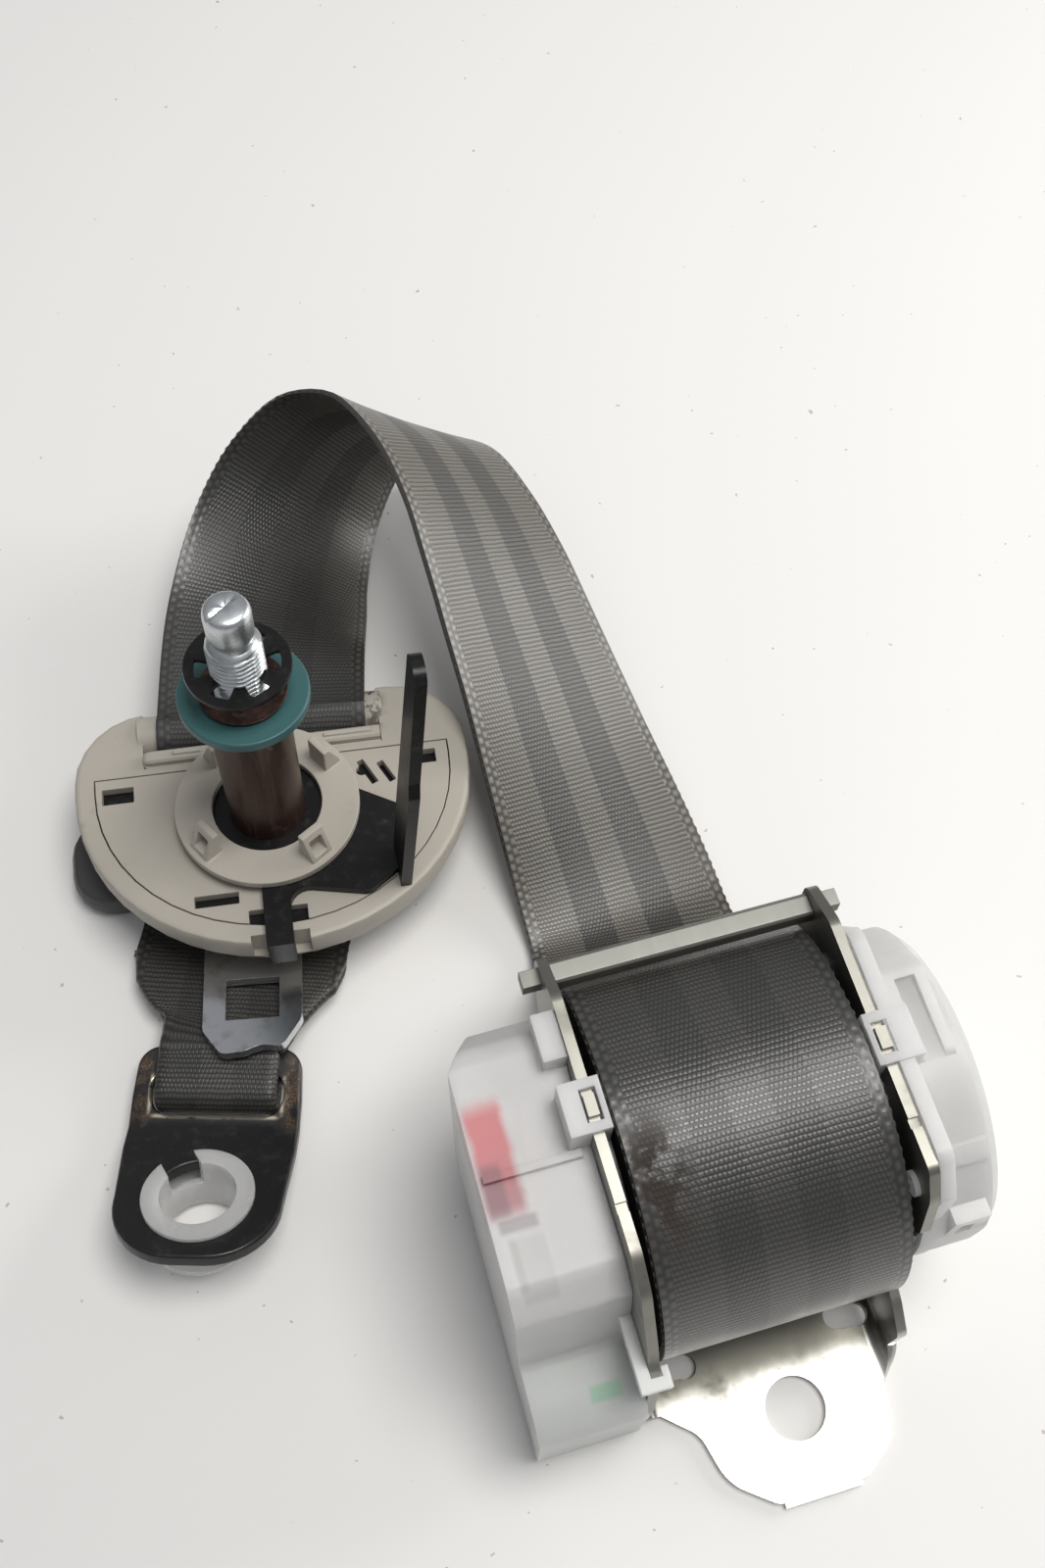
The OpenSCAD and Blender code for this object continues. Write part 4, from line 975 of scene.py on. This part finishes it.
class BELT_OT_covers(bpy.types.Operator):
    """Milky covers of the sensor and spring sides, and the coloured mouldings in them"""

    bl_idname = "belt.covers"
    bl_label = "Covers"

    def execute(self, context):
        look, sizes = context.scene.belt_colours, context.scene.belt_sizes
        tone = tuple(look.milky)
        sensor_side = milky_finish("milky sensor cover", tone, 0.34, 0.28, works_tint)
        softened("sensor_cover", sensor_side, sizes.edge * 1.6, segments=3)
        spring_side = milky_finish("milky spring cover", tone, 0.42, 0.28)
        softened("spring_cover", spring_side, sizes.edge * 1.2)
        pale = moulded_finish("pale bush", (0.6, 0.6, 0.57), (0.3, 0.28, 0.24), 0.3, 0.4)
        for node in ("bush_left", "bush_right", "spring_arbor"):
            repaint(node, pale)
        repaint("lock_disc", moulded_finish("red disc", (0.9, 0.02, 0.03), (0.3, 0.02, 0.02), 0.3, 0.4))
        green = moulded_finish("green sensor", (0.3, 0.62, 0.36), (0.12, 0.3, 0.16), 0.3, 0.4)
        repaint("sensor_cup", green)
        repaint("sensor_lever", green)
        return {"FINISHED"}


class BELT_OT_guide(bpy.types.Operator):
    """Pillar guide with its ring, stop bracket, sleeve, washer and push clip"""

    bl_idname = "belt.guide"
    bl_label = "Pillar guide"

    def execute(self, context):
        look, sizes = context.scene.belt_colours, context.scene.belt_sizes
        grey = guide_finish(look)
        softened("guide_shell", grey, sizes.edge)
        softened("guide_back", grey, sizes.edge * 0.7)
        softened("trim_ring", grey, sizes.edge)
        black = paint_finish(look, "bracket paint", no_wear, 0.28)
        softened("stop_bracket", black, sizes.edge * 1.2)
        self.clip(black)
        self.lip(grey)
        softened("spacer_sleeve", sleeve_finish(look), sizes.edge)
        teal = moulded_finish("teal washer", tuple(look.teal), (0.02, 0.04, 0.04), 0.4, 0.42)
        softened("teal_washer", teal, sizes.edge * 1.6, segments=3)
        return {"FINISHED"}

    def clip(self, finish):
        """Push clip: a flat ring whose six teeth lean on the thread."""
        segments, teeth, low, high, lean = 180, 6, 51.0, 51.9, 0.7
        outer, root, inner, tip, edge = 10.6, 9.0, 8.5, 5.3, 0.12
        rings = [[], [], [], [], [], []]
        for j in range(segments):
            a = 2 * math.pi * j / segments
            off = abs((a * teeth / (2 * math.pi)) % 1.0 - 0.5)
            tooth = min(1.0, max(0.0, (0.24 - off) / 0.03))
            reach = inner + (tip - inner) * tooth
            rows = ((outer - edge, high), (root, high), (reach, high - lean * tooth),
                    (reach, low - lean * tooth), (root, low), (outer, low + edge))
            for ring, (radius, h) in zip(rings, rows):
                ring.append((GUIDE @ Vector((radius * math.cos(a), radius * math.sin(a), h))) * MM)
        mesh = built("push_clip_piece", *hoop(rings))
        finished("push_clip_piece", mesh, finish, BODY_OF["push_clip"], "push_clip", slot="black_paint")

    def lip(self, finish):
        """Moulded lip over the near edge of the webbing slot, with a thin rib on each side."""
        profile = ((15.3, -6.2), (15.3, -4.4), (15.75, -4.2), (15.75, -2.85), (16.2, -2.4),
                   (18.5, -2.45), (19.05, -3.0), (19.1, -4.3), (18.0, -5.4))
        middle = Vector((17.2, -3.9))
        rings = []
        for x, share in ((-26.9, 0.6), (-26.6, 0.82), (-26.0, 0.95), (-25.2, 1.0), (25.8, 1.0), (26.8, 1.0)):
            ring = [middle + (Vector(q) - middle) * share for q in profile]
            rings.append([(GUIDE @ Vector((x, q.x, q.y))) * MM for q in ring])
        points, faces = skinned(rings)
        rib_foot, rib_rise, ramp = -2.5, 0.55, 0.5
        for x0, x1 in ((-20.4, -13.6), (13.6, 25.2)):
            start = len(points)
            rib = []
            for x, rise in ((x0, 0.0), (x0 + ramp, rib_rise), (x1 - ramp, rib_rise), (x1, 0.0)):
                rib.append([(GUIDE @ Vector((x, y, rib_foot + rise * k))) * MM
                            for y, k in ((16.9, 0), (17.1, 1), (17.9, 1), (18.1, 0))])
            more, walls = skinned(rib)
            points += more
            faces += [tuple(start + i for i in wall) for wall in walls]
        mesh = built("slot_lip_piece", points, faces)
        finished("slot_lip_piece", mesh, finish, BODY_OF["guide_shell"], slot="grey_plastic")


class BELT_OT_ends(bpy.types.Operator):
    """Tongue and lower anchor"""

    bl_idname = "belt.ends"
    bl_label = "Tongue and anchor"

    def execute(self, context):
        look, sizes = context.scene.belt_colours, context.scene.belt_sizes
        softened("tongue_plate", chrome_finish(), sizes.edge * 1.8, segments=3)
        grip = moulded_finish("grip moulding", (0.052, 0.052, 0.05), (0.1, 0.095, 0.085), 0.3, 0.5)
        softened("tongue_grip", grip, sizes.edge)
        black = paint_finish(look, "anchor paint", anchor_wear, 0.5)
        softened("anchor_plate", black, sizes.edge * 2.2, segments=3)
        softened("anchor_bush", milky_finish("clear bush", (0.95, 0.95, 0.935), 0.5, 0.22), sizes.edge)
        return {"FINISHED"}


class BELT_OT_stage(bpy.types.Operator):
    """Pale table, soft light and the camera"""

    bl_idname = "belt.stage"
    bl_label = "Stage"

    def execute(self, context):
        self.table(context.scene)
        self.light(context.scene)
        self.world(context.scene)
        self.camera(context.scene)
        context.scene.view_settings.view_transform = "Standard"
        return {"FINISHED"}

    def table(self, scene):
        look = scene.belt_colours
        half = 1.6
        corners = [(-half, -half, 0), (half, -half, 0), (half, half, 0), (-half, half, 0)]
        mesh = bpy.data.meshes.new("table")
        mesh.from_pydata(corners, [], [(0, 1, 2, 3)])
        table = bpy.data.objects.new("table", mesh)
        scene.collection.objects.link(table)
        f = Finish("pale table")
        point = f.place()
        cloud = f.grain(point, 6.0, 3.0)
        speck = f.grain(point, 420.0, 2.0, 0.4)
        base = f.mix(cloud, look.table, tuple(c * 0.97 for c in look.table))
        base = f.mix(speck.ramp(0.755, 0.775) * 0.6, base, (0.3, 0.27, 0.24))
        table.data.materials.append(f.surface(base, 0.5, None, Specular_IOR_Level=0.25))

    def camera(self, scene):
        camera = bpy.data.cameras.new("camera")
        camera.sensor_width = 36.0
        camera.lens = 36.85
        camera.clip_start = 0.01
        eye = bpy.data.objects.new("camera", camera)
        right = Vector((0.9608, -0.2769, 0.0111))
        up = Vector((0.2419, 0.8577, 0.4537))
        back = Vector((-0.1351, -0.4333, 0.8911))
        turn = Matrix((right, up, back)).transposed()
        eye.matrix_world = Matrix.Translation((-0.06574, -0.01695, 0.34478)) @ turn.to_4x4()
        scene.collection.objects.link(eye)
        scene.camera = eye

    def light(self, scene):
        for name, place, aim, size, power, tint in (
            ("key", (0.2, 0.06, 1.1), (-0.03, 0.1, 0.0), 0.55, 8.0, (1.0, 0.98, 0.95)),
            ("side", (0.95, 0.25, 0.38), (-0.02, 0.13, 0.03), 0.6, 6.0, (1.0, 0.985, 0.96)),
        ):
            lamp = bpy.data.lights.new(name, "AREA")
            lamp.shape = "DISK"
            lamp.size = size
            lamp.energy = power
            lamp.color = tint
            holder = bpy.data.objects.new(name, lamp)
            facing = (Vector(aim) - Vector(place)).to_track_quat("-Z", "Y")
            holder.matrix_world = Matrix.Translation(place) @ facing.to_matrix().to_4x4()
            scene.collection.objects.link(holder)

    def world(self, scene):
        room = bpy.data.worlds.new("room")
        room.use_nodes = True
        scene.world = room
        sky = Nodes(room.node_tree)
        _, _, up = sky.axes(sky.node("ShaderNodeTexCoord", out="Generated"))
        height = sky.node("ShaderNodeMapRange", None, {"Value": up, "From Min": -0.1, "From Max": 0.9})
        tint = sky.mix(height, (0.26, 0.27, 0.29), (0.6, 0.61, 0.64))
        glow = sky.node("ShaderNodeBackground", None, {"Color": tint, "Strength": 0.62})
        sky.node("ShaderNodeOutputWorld", None, {"Surface": glow})


PIECES = (
    BELT_OT_webbing, BELT_OT_roll, BELT_OT_selvedge, BELT_OT_bolt, BELT_OT_metal, BELT_OT_covers,
    BELT_OT_guide, BELT_OT_ends, BELT_OT_stage,
)


class BELT_PT_panel(bpy.types.Panel):
    """Lists the pieces of the belt"""

    bl_idname = "BELT_PT_panel"
    bl_label = "Seat belt retractor"
    bl_space_type = "VIEW_3D"
    bl_region_type = "UI"
    bl_category = "Belt"

    def draw(self, context):
        for piece in PIECES:
            self.layout.operator(piece.bl_idname)
        for group in (context.scene.belt_sizes, context.scene.belt_colours):
            box = self.layout.box()
            for key in group.__annotations__:
                box.prop(group, key)


CLASSES = (BeltSizes, BeltColours, *PIECES, BELT_PT_panel)


def register():
    for made in CLASSES:
        bpy.utils.register_class(made)
    bpy.types.Scene.belt_sizes = bpy.props.PointerProperty(type=BeltSizes)
    bpy.types.Scene.belt_colours = bpy.props.PointerProperty(type=BeltColours)


def unregister():
    del bpy.types.Scene.belt_sizes
    del bpy.types.Scene.belt_colours
    for made in reversed(CLASSES):
        bpy.utils.unregister_class(made)


def main():
    register()
    for piece in PIECES:
        group, name = piece.bl_idname.split(".")
        getattr(getattr(bpy.ops, group), name)()


if __name__ == "__main__":
    main()
